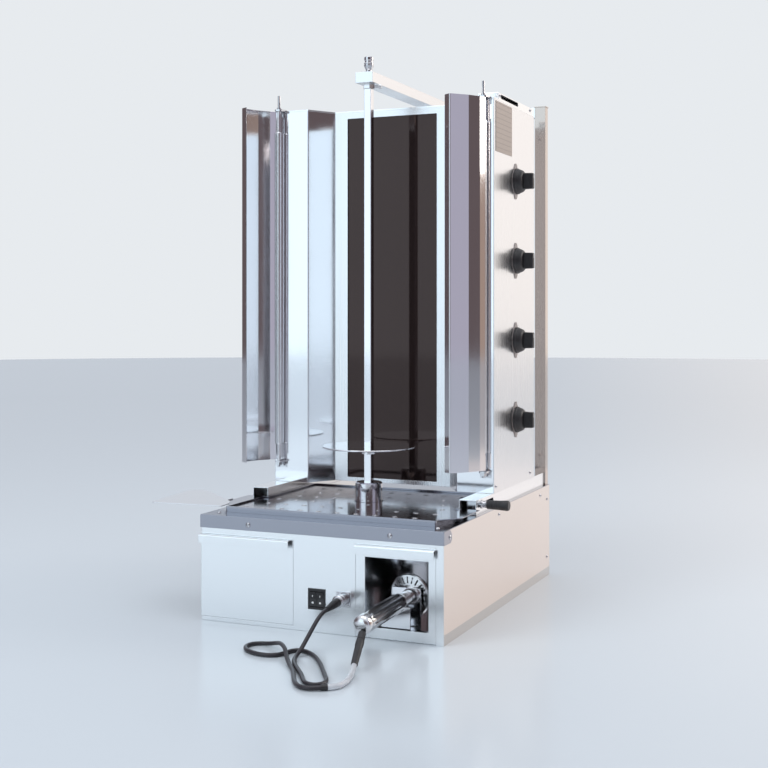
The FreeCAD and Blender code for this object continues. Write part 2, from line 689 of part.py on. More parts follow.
def switches():
    half_w, half_h = switch_bezel
    bezel = box(switch_x - half_w, switch_x + half_w, front_y - 2, front_y, switch_z - half_h,
                switch_z + half_h)
    half_w, half_h = switch_body
    body = box(switch_x - half_w, switch_x + half_w, front_y, front_y + switch_depth,
               switch_z - half_h, switch_z + half_h)
    pockets = []
    pocket_half_w, pocket_half_h = rocker_width / 2 + 0.4, rocker_radius + 1.2
    for side in (-1, 1):
        middle = switch_x + side * rocker_offset
        pockets.append(box(middle - pocket_half_w, middle + pocket_half_w, front_y - 3,
                           front_y + 17, switch_z - pocket_half_h, switch_z + pocket_half_h))
    write("switch_housing", fuse(bezel, body).cut(pockets))
    for side, name in ((-1, "rocker_motor"), (1, "rocker_knife")):
        x0 = switch_x + side * rocker_offset - rocker_width / 2
        points = [V(x0, front_y + 1, switch_z + rocker_radius),
                  V(x0, front_y - 4.0, switch_z + rocker_radius),
                  V(x0, front_y - 1.2, switch_z),
                  V(x0, front_y - 2.6, switch_z - rocker_radius + 0.4),
                  V(x0, front_y + 1, switch_z - rocker_radius)]
        edges = [Part.LineSegment(points[i], points[i + 1]).toShape() for i in range(4)]
        edges.append(Part.Arc(points[4], V(x0, front_y + 1 + rocker_radius * 0.92, switch_z),
                              points[0]).toShape())
        write(name, Part.Face(Part.Wire(edges)).extrude(V(rocker_width, 0, 0)))


# ---------------------------------------------------------------- cords
def cord_tube(name, route, radius):
    """Round tube along straight runs joined by tangent arcs."""
    points = [V(*p) for p in route]
    edges = []
    radii = []
    last = points[0]
    for i in range(1, len(points) - 1):
        before, corner, after = points[i - 1], points[i], points[i + 1]
        short = min((corner - before).Length, (after - corner).Length)
        to_last = (before - corner).normalize()
        to_next = (after - corner).normalize()
        half = math.acos(max(-1.0, min(1.0, to_last.dot(to_next)))) / 2
        turn = math.pi - 2 * half
        back = 0.45 * short
        bend_radius = back / math.tan(turn / 2)
        radii.append(round(bend_radius, 1))
        start, end = corner + to_last * back, corner + to_next * back
        inward = (to_last + to_next).normalize()
        middle = corner + inward * (bend_radius / math.sin(half) - bend_radius)
        edges.append(Part.LineSegment(last, start).toShape())
        edges.append(Part.Arc(start, middle, end).toShape())
        last = end
    edges.append(Part.LineSegment(last, points[-1]).toShape())
    path = Part.Wire(edges)
    ring = Part.Wire(Part.Circle(points[0], points[1] - points[0], radius).toShape())
    tube = path.makePipeShell([ring], True, False)
    ratio = tube.Volume / (math.pi * radius * radius * path.Length)
    print(name, "length", round(path.Length, 1), "volume ratio", round(ratio, 4))
    print(name, "bend radii", radii)
    if tube.Volume < 0:
        tube.reverse()
    write(name, tube)
    return path


def cords():
    cord_tube("cord", cord_route, cord_radius)
    cord_tube("cord_sleeve", sleeve_route, sleeve_radius)

    nose = V(socket_x, front_y - 3, socket_z)
    root = V(socket_x, front_y - 30, socket_z)
    end = V(*cord_route[0])
    core = rod(nose, (0, -1, 0), 8.0, 10)
    nut = turned([(0, 11.5), (1.5, 12.5), (16, 12.5), (18, 11)],
                 (socket_x, front_y - 10 - gap, socket_z), (0, -1, 0))
    boot_line = end - root
    boot = turned([(-3, 8.6), (10, 8.2), (30, 6.2), (boot_line.Length, 4.8)], root, boot_line)
    write("cord_plug", fuse(core, nut, boot))

    last, first = V(*cord_route[-1]), V(*sleeve_route[0])
    collar = turned([(0, 5.4), ((first - last).Length, 5.4)], last, first - last)
    start, finish = V(*strain_start), V(*sleeve_route[-1])
    run = finish - start
    strain = turned([(0, 7.4), (20, 7.4), (20, 8.4), (28, 8.4), (30, 7.6), (run.Length - 3, 6.4),
                     (run.Length, 5.9)], start, run)
    write("cord_fittings", [collar, strain.cut(knife())])


# ---------------------------------------------------------------- heater tower
def tower_outline(inset=0.0):
    """Plan of the tower: flat corners, splayed reflectors, glass frame in the middle."""
    half = tower_half - inset
    front, back = tower_front + inset, tower_back_y - inset
    right = [(half, front), (corner_x + inset * 0.3, front), (frame_half + inset, frame_y + inset),
             ]
    return ([(half, back)] + right + [(-x, y) for x, y in right[::-1]] + [(-half, back)])


def tower_shell():
    z0, z1 = tower_z0, tower_top_z
    side = box(tower_half - sheet, tower_half, tower_front, tower_back_y, z0, z1)
    holes = [rod((tower_half - 5, knob_y, z), (1, 0, 0), spindle_radius + 1.5, 10)
             for z in knob_heights]
    write("tower_side_right", side.cut(holes))
    write("tower_side_left", mirror_x(side))

    path = [(frame_half, frame_y + 14), (frame_half, frame_y), (corner_x, tower_front),
            (tower_half - sheet, tower_front)]
    reflector = folded_up(path, sheet, z0, z1, 1.2)
    write("reflector_right", reflector)
    write("reflector_left", mirror_x(reflector))

    inside = tower_half - sheet
    back = box(-inside, inside, tower_back_y - sheet, tower_back_y, z0, z1)
    bottoms = [z + row * 12 for row in range(14) for z in (tower_z0 + 60, tower_top_z - 220)]
    back = back.cut(vent_slots(125, 140, 4.5, bottoms, tower_back_y))
    floor = plan([(inside, tower_back_y - sheet)]
                 + [(inside, tower_front + sheet), (corner_x + 1.6, tower_front + sheet),
                    (frame_half + sheet, frame_y + 2), (frame_half + sheet, frame_y + 14.5)]
                 + [(-frame_half - sheet, frame_y + 14.5), (-frame_half - sheet, frame_y + 2),
                    (-corner_x - 1.6, tower_front + sheet), (-inside, tower_front + sheet)]
                 + [(-inside, tower_back_y - sheet)], z0, z0 + 2)
    sill = box(-frame_half, frame_half, frame_y + frame_thick + glass_thick, frame_y + 14.5, z0,
               z0 + 2)
    write("tower_back", fuse(back, floor, sill))


def tower_top():
    z0 = tower_top_z
    half = tower_half
    lid = plan(tower_outline(), z0, z0 + 3)
    x0, y0, y1 = half - duct_width, tower_front + 30, tower_back_y - 10
    duct = box(x0, half, y0, y1, z0 + 3, z0 + 3 + duct_height)
    duct = duct.makeFillet(2.5, [e for e in duct.Edges
                                 if e.BoundBox.ZMin > z0 + 3 + duct_height - 0.1])
    hollow = box(x0 + sheet, half - sheet, y0 + sheet, y1 - sheet, z0 + 4, z0 + 3 + duct_height - 1)
    vent = slot_x(half - 5, half + 1, y0 + 16, y0 + 140, z0 + 5.5, z0 + 14.5)
    passage = box(x0 + 8, half - 8, y0 + 10, y1 - 10, z0 - 1, z0 + 5)
    write("tower_top", fuse(lid, duct).cut([hollow, vent, passage]))


def glass_front():
    z0, z1 = tower_z0, tower_top_z
    y0 = frame_y
    frame = box(-frame_half, frame_half, y0, y0 + frame_thick, z0, z1)
    opening = box(-glass_half, glass_half, y0 - 1, y0 + frame_thick + 1, z0 + frame_bottom_rail + 2,
                  z1 - frame_top_rail)
    opening = opening.makeFillet(1.5, [e for e in opening.Edges if e.BoundBox.YLength > 2])
    write("glass_frame", frame.cut(opening))
    y1 = y0 + frame_thick
    write("heater_glass", box(-glass_half - 12, glass_half + 12, y1, y1 + glass_thick, z0 + 3,
                              z1 - 4))


def heaters():
    board_y, board_half, board_thick = frame_y + 40, 128, 25
    holder_x, holder_width, holder_depth = 112, 12, 22
    inner_x = holder_x - holder_width / 2
    z0, z1 = tower_z0 + 2, tower_top_z
    board = box(-board_half, board_half, board_y, board_y + board_thick, z0, z1)
    holder = box(inner_x, inner_x + holder_width, board_y - holder_depth, board_y, z0, z1)
    write("heater_board", fuse(board, holder, mirror_x(holder)))
    tubes = []
    zone_height = (z1 - z0) / zones
    for zone in range(zones):
        for i in range(elements_per_zone):
            z = z0 + zone_height * (zone + (i + 0.75) / (elements_per_zone + 0.5))
            tubes.append(rod((-inner_x, board_y - 13, z), (1, 0, 0), element_radius, 2 * inner_x))
    write("heating_elements", tubes)

    bodies = []
    for z in knob_heights:
        case = box(tower_half - sheet - 38, tower_half - sheet, knob_y - 22, knob_y + 22, z - 18,
                   z + 18)
        nose = rod((tower_half - sheet, knob_y, z), (1, 0, 0), spindle_radius + 1.4, sheet)
        bore = rod((tower_half - 30, knob_y, z), (1, 0, 0), spindle_radius + running, 60)
        bodies.append(fuse(case, nose).cut(bore))
    write("heat_regulators", bodies)


def knob_set():
    plates = []
    for index, z in enumerate(knob_heights):
        x = tower_half
        outline = [V(x, knob_y, z + plate_height / 2), V(x, knob_y + plate_width / 2, z + 7),
                   V(x, knob_y + plate_width / 2, z - 7), V(x, knob_y, z - plate_height / 2),
                   V(x, knob_y - plate_width / 2, z - 7), V(x, knob_y - plate_width / 2, z + 7)]
        plate = Part.Face(rounded_wire(outline, [9, 8, 8, 9, 8, 8])).extrude(V(sheet, 0, 0))
        plates.append(plate.cut(rod((x - 1, knob_y, z), (1, 0, 0), spindle_radius + 1.5, 9)))

        base = tower_half + sheet + gap
        skirt = turned([(0, knob_radius - 1), (1, knob_radius), (6, knob_radius),
                        (knob_skirt - 2, knob_radius - 5), (knob_skirt, knob_radius - 7.5)],
                       (base, knob_y, z), (1, 0, 0))
        grip = box(base + knob_skirt - 6, base + knob_skirt + knob_grip, knob_y - 7.5, knob_y + 7.5,
                   z - 18, z + 18)
        grip = grip.makeFillet(3.5, [e for e in grip.Edges
                                     if e.BoundBox.XLength > 5 or e.BoundBox.XMin > base + 35])
        bore = rod((base - 1, knob_y, z), (1, 0, 0), spindle_radius, 22)
        spindle = rod((tower_half - 28, knob_y, z), (1, 0, 0), spindle_radius, 28 + sheet + gap + 21)
        write("knob_%d" % (index + 1), [fuse(skirt, grip).cut(bore), spindle])
    write("knob_plates", plates)
    label = box(tower_half, tower_half + 0.8, tower_front + 11, tower_front + 122,
                tower_top_z - 110, tower_top_z - 3)
    write("rating_plate", label)


def screw_sets():
    tower = []
    for side in (-1, 1):
        for y in (tower_front + 12, tower_back_y - 30):
            tower.append(dome_screw((side * tower_half, y, tower_z0 + 14), (side, 0, 0)))
    for y in (tower_front + 40, tower_back_y - 30):
        tower.append(dome_screw((tower_half, y, tower_top_z + 11), (1, 0, 0)))
    for x in (-220, -75, 75, 220):
        for z in (tower_z0 + 30, tower_top_z - 25):
            tower.append(dome_screw((x, tower_back_y, z), (0, 1, 0)))
    write("tower_screws", tower)

    base = []
    for side in (-1, 1):
        base.append(dome_screw((side * 155, front_y - sheet, base_height - 15), (0, -1, 0), 5, 3))
        base.append(dome_screw((side * (side_x + sheet), front_y + 30, base_height - 15),
                               (side, 0, 0), 4.5))
        for y, z in side_screws:
            base.append(dome_screw((side * side_x, front_y + y, z), (side, 0, 0)))
        base.append(dome_screw((side * 241, front_y + 30, base_height), (0, 0, 1), 4, 2))
        for z in (30, 190):
            base.append(dome_screw((side * 250, back_y, z), (0, 1, 0)))
    write("base_screws", base)


# ---------------------------------------------------------------- wings
def wing_at(angle, sign):
    """Wing reflector from its hinge tube outward; sign picks the side its hollow faces."""
    height = wing_top - wing_bottom
    heading = math.radians(angle)
    turn = math.radians(wing_facet_turn) * sign
    direction = heading - turn
    side = heading - sign * math.pi / 2
    offset = wing_tube_radius - thin
    x = offset * math.cos(side)
    y = offset * math.sin(side)
    path = [(x, y)]
    for length in wing_facets:
        x += length * math.cos(direction)
        y += length * math.sin(direction)
        path.append((x, y))
        direction += turn
    direction = heading + sign * math.radians(95)
    path.append((x + wing_lip * math.cos(direction), y + wing_lip * math.sin(direction)))
    thickness = thin * -sign
    skin = folded_up(path, thickness, 0, height, 1.5)
    tube = rod((0, 0, 36), (0, 0, 1), wing_tube_radius, height - 36 - 48)
    sleeve = rod((0, 0, -2), (0, 0, 1), wing_sleeve_radius, height + 2)
    tabs = [box(0, wing_tube_radius, -1.5, 1.5, z, z + 30).rotate(V(0, 0, 0), V(0, 0, 1),
                                                                 math.degrees(side))
            for z in (2, height - 40)]
    bore = rod((0, 0, -5), (0, 0, 1), wing_pin_radius + running, height + 10)
    return fuse(skin, tube, sleeve, *tabs).cut(bore)


def wings():
    right = wing_at(right_wing_angle, -1)
    right.translate(V(wing_hinge_x, wing_hinge_y, wing_bottom))
    write("wing_right", right)
    left = wing_at(left_wing_angle, 1)
    left.translate(V(-wing_hinge_x, wing_hinge_y, wing_bottom))
    write("wing_left", left)

    low = wing_bottom - 2 - gap
    high = wing_top + gap
    brackets = []
    for side in (-1, 1):
        x, y = wing_hinge_x * side, wing_hinge_y
        pin = rod((x, y, low - 14), (0, 0, 1), wing_pin_radius, wing_pin_top - low + 14)
        parts = [pin, plan([(x + 7 * math.cos(math.radians(a)), y + 7 * math.sin(math.radians(a)))
                            for a in range(0, 360, 60)], low - 10, low - 4)]
        for z in (low - 4, high):
            ear = plan([(x - 12, tower_front), (x - 8, y - 7), (x + 8, y - 7), (x + 12, tower_front)],
                       z, z + 4, [0, 5, 5, 0])
            flange = box(x - 12, x + 12, tower_front - 2, tower_front, z - 12, z + 4)
            parts += [ear, flange]
        parts.append(rod((x, y, high + 4), (0, 0, 1), 5.0, 4))
        brackets.append(fuse(*parts))
    write("wing_brackets", brackets)


# ---------------------------------------------------------------- clip-on side shelf
def side_shelf():
    edge = -(tray_half + tray_flange)
    z = base_height + tray_height + gap
    top = plan(shelf_outline, z, z + sheet, [6, 8, 14, 14, 10, 4])
    under = z - gap - tray_flange_thick - gap
    web_face = edge - gap
    leaf = box(web_face - sheet, edge + 22, clip_y0, clip_y1, under - sheet, under)
    web = box(web_face - sheet, web_face, clip_y0, clip_y1, under - sheet, z + sheet)
    write("side_shelf", fuse(top, leaf, web))


def main():
    os.makedirs("parts", exist_ok=True)
    base_shell()
    mains_gland()
    front_panel()
    top_deck()
    drip_tray()
    deck_rails()
    runner_bars()
    clamp_grip()
    rear_frame()
    top_pin()
    gear_motor()
    transformer()
    spit()
    drawer()
    knife_bay()
    knife_socket()
    switches()
    cords()
    tower_shell()
    tower_top()
    glass_front()
    heaters()
    knob_set()
    screw_sets()
    wings()
    side_shelf()


main()
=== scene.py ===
# %% [markdown]
# # An upright electric rotisserie
# A stainless cabinet carries a heater tower, a turning spit and two hinged reflectors, and a small
# round slicing knife is plugged into its front. The CAD model already holds every size and every
# joint, so this lesson only gives it its looks. It loads that model as a frame that never moves,
# gives each sheet and casting a finish, and replaces the pieces whose charm is in small shapes.

# %% The frame
import json
import math

import bmesh
import bpy
from mathutils import Matrix, Vector


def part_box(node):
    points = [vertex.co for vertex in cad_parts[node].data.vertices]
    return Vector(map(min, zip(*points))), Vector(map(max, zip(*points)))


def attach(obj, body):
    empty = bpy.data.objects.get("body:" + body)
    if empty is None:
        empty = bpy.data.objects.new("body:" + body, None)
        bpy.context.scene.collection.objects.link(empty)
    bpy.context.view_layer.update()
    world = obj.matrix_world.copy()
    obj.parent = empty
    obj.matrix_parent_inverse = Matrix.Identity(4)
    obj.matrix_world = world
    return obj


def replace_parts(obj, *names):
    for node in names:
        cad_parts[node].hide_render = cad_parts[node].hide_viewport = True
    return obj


MM = 0.001
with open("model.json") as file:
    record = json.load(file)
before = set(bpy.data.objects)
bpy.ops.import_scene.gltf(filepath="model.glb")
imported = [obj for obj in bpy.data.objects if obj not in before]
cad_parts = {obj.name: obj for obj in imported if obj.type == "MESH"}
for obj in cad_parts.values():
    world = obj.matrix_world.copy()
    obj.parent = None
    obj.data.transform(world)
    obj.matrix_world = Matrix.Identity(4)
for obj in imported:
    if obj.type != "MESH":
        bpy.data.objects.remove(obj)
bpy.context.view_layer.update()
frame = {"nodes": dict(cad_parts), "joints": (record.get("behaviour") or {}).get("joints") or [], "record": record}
nodes = frame["nodes"]
joints = {joint["name"]: joint for joint in frame["joints"]}
body_of_node = {n: b for b, names in frame["record"]["behaviour"]["bodies"].items() for n in names}
slot_of_node = {row["node"]: row["material_slot"] for row in frame["record"]["subparts"]}

# %% [markdown]
# ## Camera
# The machine stands a little turned. The lens is held level and shifted down, so that every
# upright edge stays upright in the picture.

# %% Camera
lens = bpy.data.cameras.new("lens")
lens.lens = 59.68
lens.sensor_width = 36.0
lens.shift_y = -0.0977
camera = bpy.data.objects.new("camera", lens)
camera.location = (1.1116, -2.6021, 0.6356)
camera.rotation_euler = (math.radians(90), 0, math.radians(23.36))
bpy.context.scene.collection.objects.link(camera)
bpy.context.scene.camera = camera

# %% [markdown]
# ## A small kit for node trees
# Shader sums are easier to read as Python than as wires. `Wire` wraps one output of a node and
# turns `+` and `*` into Math nodes. `Tree.add` makes any other node: its settings are set first,
# because some of them change which sockets it has, and then its sockets are filled.

# %% Wire and Tree
class Wire:
    """One output of a node, usable in plain arithmetic."""

    def __init__(self, tree, socket):
        self.tree, self.socket = tree, socket

    def _sum(self, operation, first, second):
        return self.tree.add("ShaderNodeMath", {"operation": operation}, {0: first, 1: second})

    def __add__(self, other):
        return self._sum("ADD", self, other)

    def __mul__(self, other):
        return self._sum("MULTIPLY", self, other)


class Tree:
    """A node tree and the one method that adds a node to it."""

    def __init__(self, tree):
        self.tree = tree

    def add(self, kind, settings=None, sockets=None, out=0):
        made = self.tree.nodes.new(kind)
        for key, value in (settings or {}).items():
            if key == "stops":
                ramp = made.color_ramp.elements
                while len(ramp) < len(value):
                    ramp.new(1.0)
                for element, (place, colour) in zip(ramp, value):
                    element.position, element.color = place, (*colour, 1.0)
            else:
                setattr(made, key, value)
        for key, value in (sockets or {}).items():
            if isinstance(value, Wire):
                self.tree.links.new(value.socket, made.inputs[key])
            else:
                made.inputs[key].default_value = value
        return Wire(self, made.outputs[out]) if len(made.outputs) else made


def grey(value):
    return (value, value, value)


# %% [markdown]
# ## Light
# Steel has no colour of its own: it shows the room. A cool white wall stands at the front left, a
# cream one at the back right, and the room between them is dark, so that each fold of the polished
# sheet picks up a bright or a dark band. The camera itself sees only a plain pale backdrop.

# %% Room and lamps
def studio_room():
    world = bpy.data.worlds.new("studio_room")
    bpy.context.scene.world = world
    world.use_nodes = True
    world.node_tree.nodes.clear()
    tree = Tree(world.node_tree)
    heading = tree.add("ShaderNodeTexCoord", out="Generated")
    around = tree.add("ShaderNodeTexGradient", {"gradient_type": "RADIAL"}, {0: heading}, out=1)
    cool, warm = (1.10, 1.30, 1.45), (1.10, 1.04, 1.00)
    dark, lilac, tan = (0.13, 0.10, 0.105), (0.46, 0.44, 0.54), (0.40, 0.29, 0.24)
    pale = (0.66, 0.70, 0.76)
    walls = tree.add("ShaderNodeValToRGB", {"stops": [
        (0.0, dark), (0.07, dark), (0.11, lilac), (0.14, cool), (0.225, cool), (0.255, dark),
        (0.395, dark), (0.41, lilac), (0.466, lilac), (0.48, dark), (0.53, dark), (0.55, tan),
        (0.59, tan), (0.63, warm), (0.76, warm), (0.80, pale), (0.90, pale), (0.94, lilac),
        (0.97, dark)]}, {0: around})
    split = tree.add("ShaderNodeSeparateXYZ", sockets={0: heading}, out=2)
    height = tree.add("ShaderNodeMapRange", sockets={0: split, 1: 0.35, 2: 0.8})
    ceiling = tree.add("ShaderNodeMix", {"data_type": "RGBA"},
                       {0: height, 6: walls, 7: (0.78, 0.82, 0.90, 1)}, out=2)
    seen = tree.add("ShaderNodeLightPath", out="Is Camera Ray")
    room = tree.add("ShaderNodeMix", {"data_type": "RGBA"},
                    {0: seen, 6: ceiling, 7: (0.80, 0.83, 0.86, 1)}, out=2)
    light = tree.add("ShaderNodeBackground", sockets={0: room, 1: 1.0})
    tree.add("ShaderNodeOutputWorld", sockets={0: light})


def soft_lamp(name, place, aim, size, power, colour, mirrored=True):
    lamp = bpy.data.lights.new(name, "AREA")
    lamp.size, lamp.energy, lamp.color = size, power, colour
    lamp.shape = "SQUARE"
    holder = bpy.data.objects.new(name, lamp)
    holder.location = place
    holder.rotation_euler = (Vector(aim) - Vector(place)).to_track_quat("-Z", "Y").to_euler()
    holder.visible_camera = False
    holder.visible_glossy = mirrored
    bpy.context.scene.collection.objects.link(holder)


studio_room()
soft_lamp("back_right_lamp", (2.6, 1.5, 1.9), (0.2, 0, 0.6), 1.4, 26, (1.0, 0.95, 0.9))
soft_lamp("front_left_lamp", (-1.8, -2.8, 2.2), (0, 0, 0.4), 1.8, 30, (0.90, 0.97, 1.0), False)
soft_lamp("floor_glow", (1.5, 0.9, 0.02), (1.5, 0.9, 1.0), 2.5, 4.4, (1.0, 0.70, 0.53))
soft_lamp("top_lamp", (0, -0.6, 3.2), (0, 0, 0), 2.4, 18, (1.0, 1.0, 1.0))

# %% [markdown]
# ## Finishes
# Each finish is one short function. Brushed sheet is drawn under a belt, so its scratches run one
# way: noise stretched along that way gives both the fine bump and the streaks in its gloss. All
# patterns are placed on Object coordinates, so they stay put when a piece moves.

# %% Finish helpers
def finish_tree(name):
    material = bpy.data.materials.new(name)
    material.use_nodes = True
    material.node_tree.nodes.clear()
    return material, Tree(material.node_tree)


def close_finish(tree, sockets):
    shader = tree.add("ShaderNodeBsdfPrincipled", sockets=sockets)
    tree.add("ShaderNodeOutputMaterial", sockets={0: shader})


def place(tree, scale):
    spot = tree.add("ShaderNodeTexCoord", out="Object")
    return tree.add("ShaderNodeMapping", sockets={0: spot, 3: scale})


def noise(tree, scale, detail=2.0, rough=0.5):
    return tree.add("ShaderNodeTexNoise",
                    sockets={"Vector": place(tree, scale), "Scale": 1.0, "Detail": detail,
                             "Roughness": rough})


def tint(tree, mask, low, high):
    return tree.add("ShaderNodeMix", {"data_type": "RGBA"},
                    {0: mask, 6: (*low, 1), 7: (*high, 1)}, out=2)


def bump(tree, height, depth, strength=1.0, under=None):
    sockets = {"Height": height, "Distance": depth, "Strength": strength}
    if under is not None:
        sockets["Normal"] = under
    return tree.add("ShaderNodeBump", sockets=sockets)


def eased_edges(tree, radius):
    """Normals that turn over the edges, as folded and deburred sheet does."""
    return tree.add("ShaderNodeBevel", {"samples": 4}, {0: radius})


# %% Metals
def brushed(name, grain, rough, colour=(0.80, 0.80, 0.81)):
    """Belt-brushed sheet. grain is how fast the scratches change along X, Y and Z."""
    material, tree = finish_tree(name)
    scratches = noise(tree, grain, 3.0, 0.6)
    smears = noise(tree, (2.3, 2.3, 1.7), 2.0)
    lighter = [c * 1.04 for c in colour]
    close_finish(tree, {
        "Base Color": tint(tree, smears, colour, lighter),
        "Metallic": 1.0,
        "Roughness": scratches * 0.10 + smears * 0.06 + (rough - 0.08),
        "Normal": bump(tree, scratches, 0.00003, 0.3, eased_edges(tree, 0.0009))})
    return material


def polished(name, rough=0.07, colour=(0.82, 0.82, 0.84)):
    """Mirror sheet: it is never quite flat, and wiping leaves faint hazy patches."""
    material, tree = finish_tree(name)
    waves = noise(tree, (5.0, 5.0, 1.6), 1.0)
    haze = noise(tree, (14.0, 14.0, 9.0), 4.0, 0.6)
    close_finish(tree, {
        "Base Color": (*colour, 1),
        "Metallic": 1.0,
        "Roughness": haze * 0.08 + (rough - 0.03),
        "Normal": bump(tree, waves, 0.0012, 0.35, eased_edges(tree, 0.0008))})
    return material


def plated():
    material, tree = finish_tree("bright_plating")
    specks = noise(tree, grey(160.0), 2.0)
    close_finish(tree, {"Base Color": (0.66, 0.66, 0.68, 1), "Metallic": 1.0,
                        "Roughness": specks * 0.16 + 0.08,
                        "Normal": bump(tree, specks, 0.0001, 0.2)})
    return material


def zinc():
    """Hot-dipped sheet: zinc freezes in spangles, each with its own tilt."""
    material, tree = finish_tree("zinc_spangle")
    spangle = tree.add("ShaderNodeTexVoronoi", sockets={"Vector": place(tree, grey(60.0)),
                                                        "Scale": 1.0}, out=1)
    level = tree.add("ShaderNodeSeparateColor", sockets={0: spangle})
    close_finish(tree, {"Base Color": tint(tree, level, (0.42, 0.44, 0.46), (0.66, 0.68, 0.70)),
                        "Metallic": 0.9, "Roughness": level * 0.2 + 0.28})
    return material


def turned_aluminium():
    material, tree = finish_tree("turned_aluminium")
    marks = noise(tree, (420.0, 420.0, 420.0), 1.0)
    smears = noise(tree, grey(24.0), 3.0)
    close_finish(tree, {"Base Color": tint(tree, smears, (0.74, 0.74, 0.75), (0.86, 0.86, 0.86)),
                        "Metallic": 1.0, "Roughness": smears * 0.14 + 0.12,
                        "Normal": bump(tree, marks, 0.00005, 0.3)})
    return material


# %% Glass, plastics and the rest
def black_glass():
    material, tree = finish_tree("black_glass")
    depth = noise(tree, (1.5, 1.5, 0.9), 2.0)
    close_finish(tree, {"Base Color": tint(tree, depth, (0.012, 0.008, 0.008),
                                           (0.030, 0.020, 0.019)),
                        "Roughness": depth * 0.04 + 0.03, "IOR": 1.5,
                        "Specular Tint": (1.0, 0.76, 0.71, 1),
                        "Normal": bump(tree, depth, 0.001, 0.25)})
    return material


def moulded(name, colour, rough, grain=900.0):
    material, tree = finish_tree(name)
    pores = noise(tree, grey(grain), 2.0)
    wear = noise(tree, grey(35.0), 4.0)
    lighter = [c * 1.7 + 0.006 for c in colour]
    close_finish(tree, {"Base Color": tint(tree, wear, colour, lighter),
                        "Roughness": wear * 0.18 + (rough - 0.09),
                        "Normal": bump(tree, pores, 0.00008, 0.5)})
    return material


def clear_vinyl():
    material, tree = finish_tree("clear_vinyl")
    cloud = noise(tree, grey(90.0), 2.0)
    close_finish(tree, {"Base Color": tint(tree, cloud, (0.80, 0.82, 0.86), (0.93, 0.94, 0.96)),
                        "Roughness": cloud * 0.1 + 0.1, "Transmission Weight": 0.45, "IOR": 1.45})
    return material


def hammered_paint():
    material, tree = finish_tree("hammered_paint")
    dimples = tree.add("ShaderNodeTexVoronoi", sockets={"Vector": place(tree, grey(420.0)),
                                                        "Scale": 1.0})
    close_finish(tree, {"Base Color": tint(tree, dimples, (0.10, 0.11, 0.12), (0.19, 0.20, 0.21)),
                        "Roughness": 0.38, "Metallic": 0.2,
                        "Normal": bump(tree, dimples, 0.0003, 0.6)})
    return material


def ceramic_fibre():
    material, tree = finish_tree("ceramic_fibre")
    fibres = noise(tree, (260.0, 260.0, 60.0), 4.0)
    close_finish(tree, {"Base Color": tint(tree, fibres, (0.52, 0.48, 0.42), (0.80, 0.77, 0.72)),
                        "Roughness": 0.9, "Normal": bump(tree, fibres, 0.0006, 0.7)})
    return material


def blank_foil():
    """Rating plate with nothing on it but faint ruled rows."""
    material, tree = finish_tree("blank_foil")
    across = place(tree, (0.0, 0.0, 100.0))
    rows = tree.add("ShaderNodeTexWave", {"bands_direction": "Z"},
                    {"Vector": across, "Scale": 0.3, "Distortion": 0.0}, out=1)
    streaks = noise(tree, (30.0, 260.0, 700.0), 2.0)
    ruled = tree.add("ShaderNodeMapRange", sockets={0: rows, 1: 0.93, 2: 0.99})
    shade = streaks * 0.6 + ruled * 0.4
    close_finish(tree, {"Base Color": tint(tree, shade, (0.52, 0.45, 0.40), (0.20, 0.17, 0.16)),
                        "Metallic": 0.45, "Roughness": streaks * 0.2 + 0.36})
    return material


# %% One finish for each slot of the record
LEVEL, UPRIGHT, ALONG = (3.0, 3.0, 900.0), (700.0, 700.0, 2.0), (900.0, 3.0, 900.0)
finishes = {
    "stainless_brushed": brushed("brushed_level", LEVEL, 0.20, (0.88, 0.89, 0.90)),
    "stainless_polished": polished("polished_sheet"),
    "plated_steel": plated(),
    "galvanised": zinc(),
    "grey_paint": hammered_paint(),
    "black_plastic": moulded("black_moulding", (0.016, 0.015, 0.016), 0.42),
    "cable_rubber": moulded("cable_jacket", (0.020, 0.017, 0.021), 0.36, 500.0),
    "clear_sleeve": clear_vinyl(),
    "cast_aluminium": turned_aluminium(),
    "ceramic_glass": black_glass(),
    "ceramic_board": ceramic_fibre(),
    "label_foil": blank_foil(),
}
cabinet_sides = ("base_side_right", "base_side_left")
special_finishes = [
    (brushed("brushed_upright", UPRIGHT, 0.26),
     ("tower_side_right", "tower_side_left", "tower_back", "glass_frame")),
    (brushed("brushed_along", ALONG, 0.24), ("spit_arm",)),
    # The cabinet sides are tinted tan: painted warm reflection of the counter and room, not the steel's own
    # colour.
    (brushed("brushed_side_painted_warm_reflection", LEVEL, 0.13, (0.72, 0.665, 0.625)), cabinet_sides),
    # The rear posts are tinted brown: painted reflection of the shaded tower back, not the steel's own colour.
    (polished("polished_post_painted_tan_reflection", 0.10, (0.58, 0.50, 0.45)), ("rear_posts",)),
    (moulded("etched_plate", (0.30, 0.265, 0.25), 0.36), ("knob_plates",)),
    # The deck, drip plate and tray get a dark grey-blue colour: painted dark reflection, not the steel's own
    # colour.
    (polished("polished_deck_painted_dark_reflection", 0.13, (0.36, 0.365, 0.41)),
     ("top_deck", "perforated_plate", "drip_tray")),
]


def dress(obj, finish):
    obj.data.materials.clear()
    obj.data.materials.append(finish)


for name, obj in nodes.items():
    dress(obj, finishes[slot_of_node[name]])
for finish, names in special_finishes:
    for name in names:
        dress(nodes[name], finish)
for name in cabinet_sides:
    # The front edge of each side is brushed like the panels beside it.
    nodes[name].data.materials.append(finishes["stainless_brushed"])
    for face in nodes[name].data.polygons:
        face.material_index = 1 if face.normal.y < -0.9 else 0
print(len(finishes) + len(special_finishes), "finishes on", len(nodes), "CAD nodes")

# %% [markdown]
# ## Turned pieces
# Knobs, plugs, ferrules and handles are lathe work. A profile of a few points is swept round an
# axis in rings, and a Bevel modifier then eases its corners, so light catches every edge.

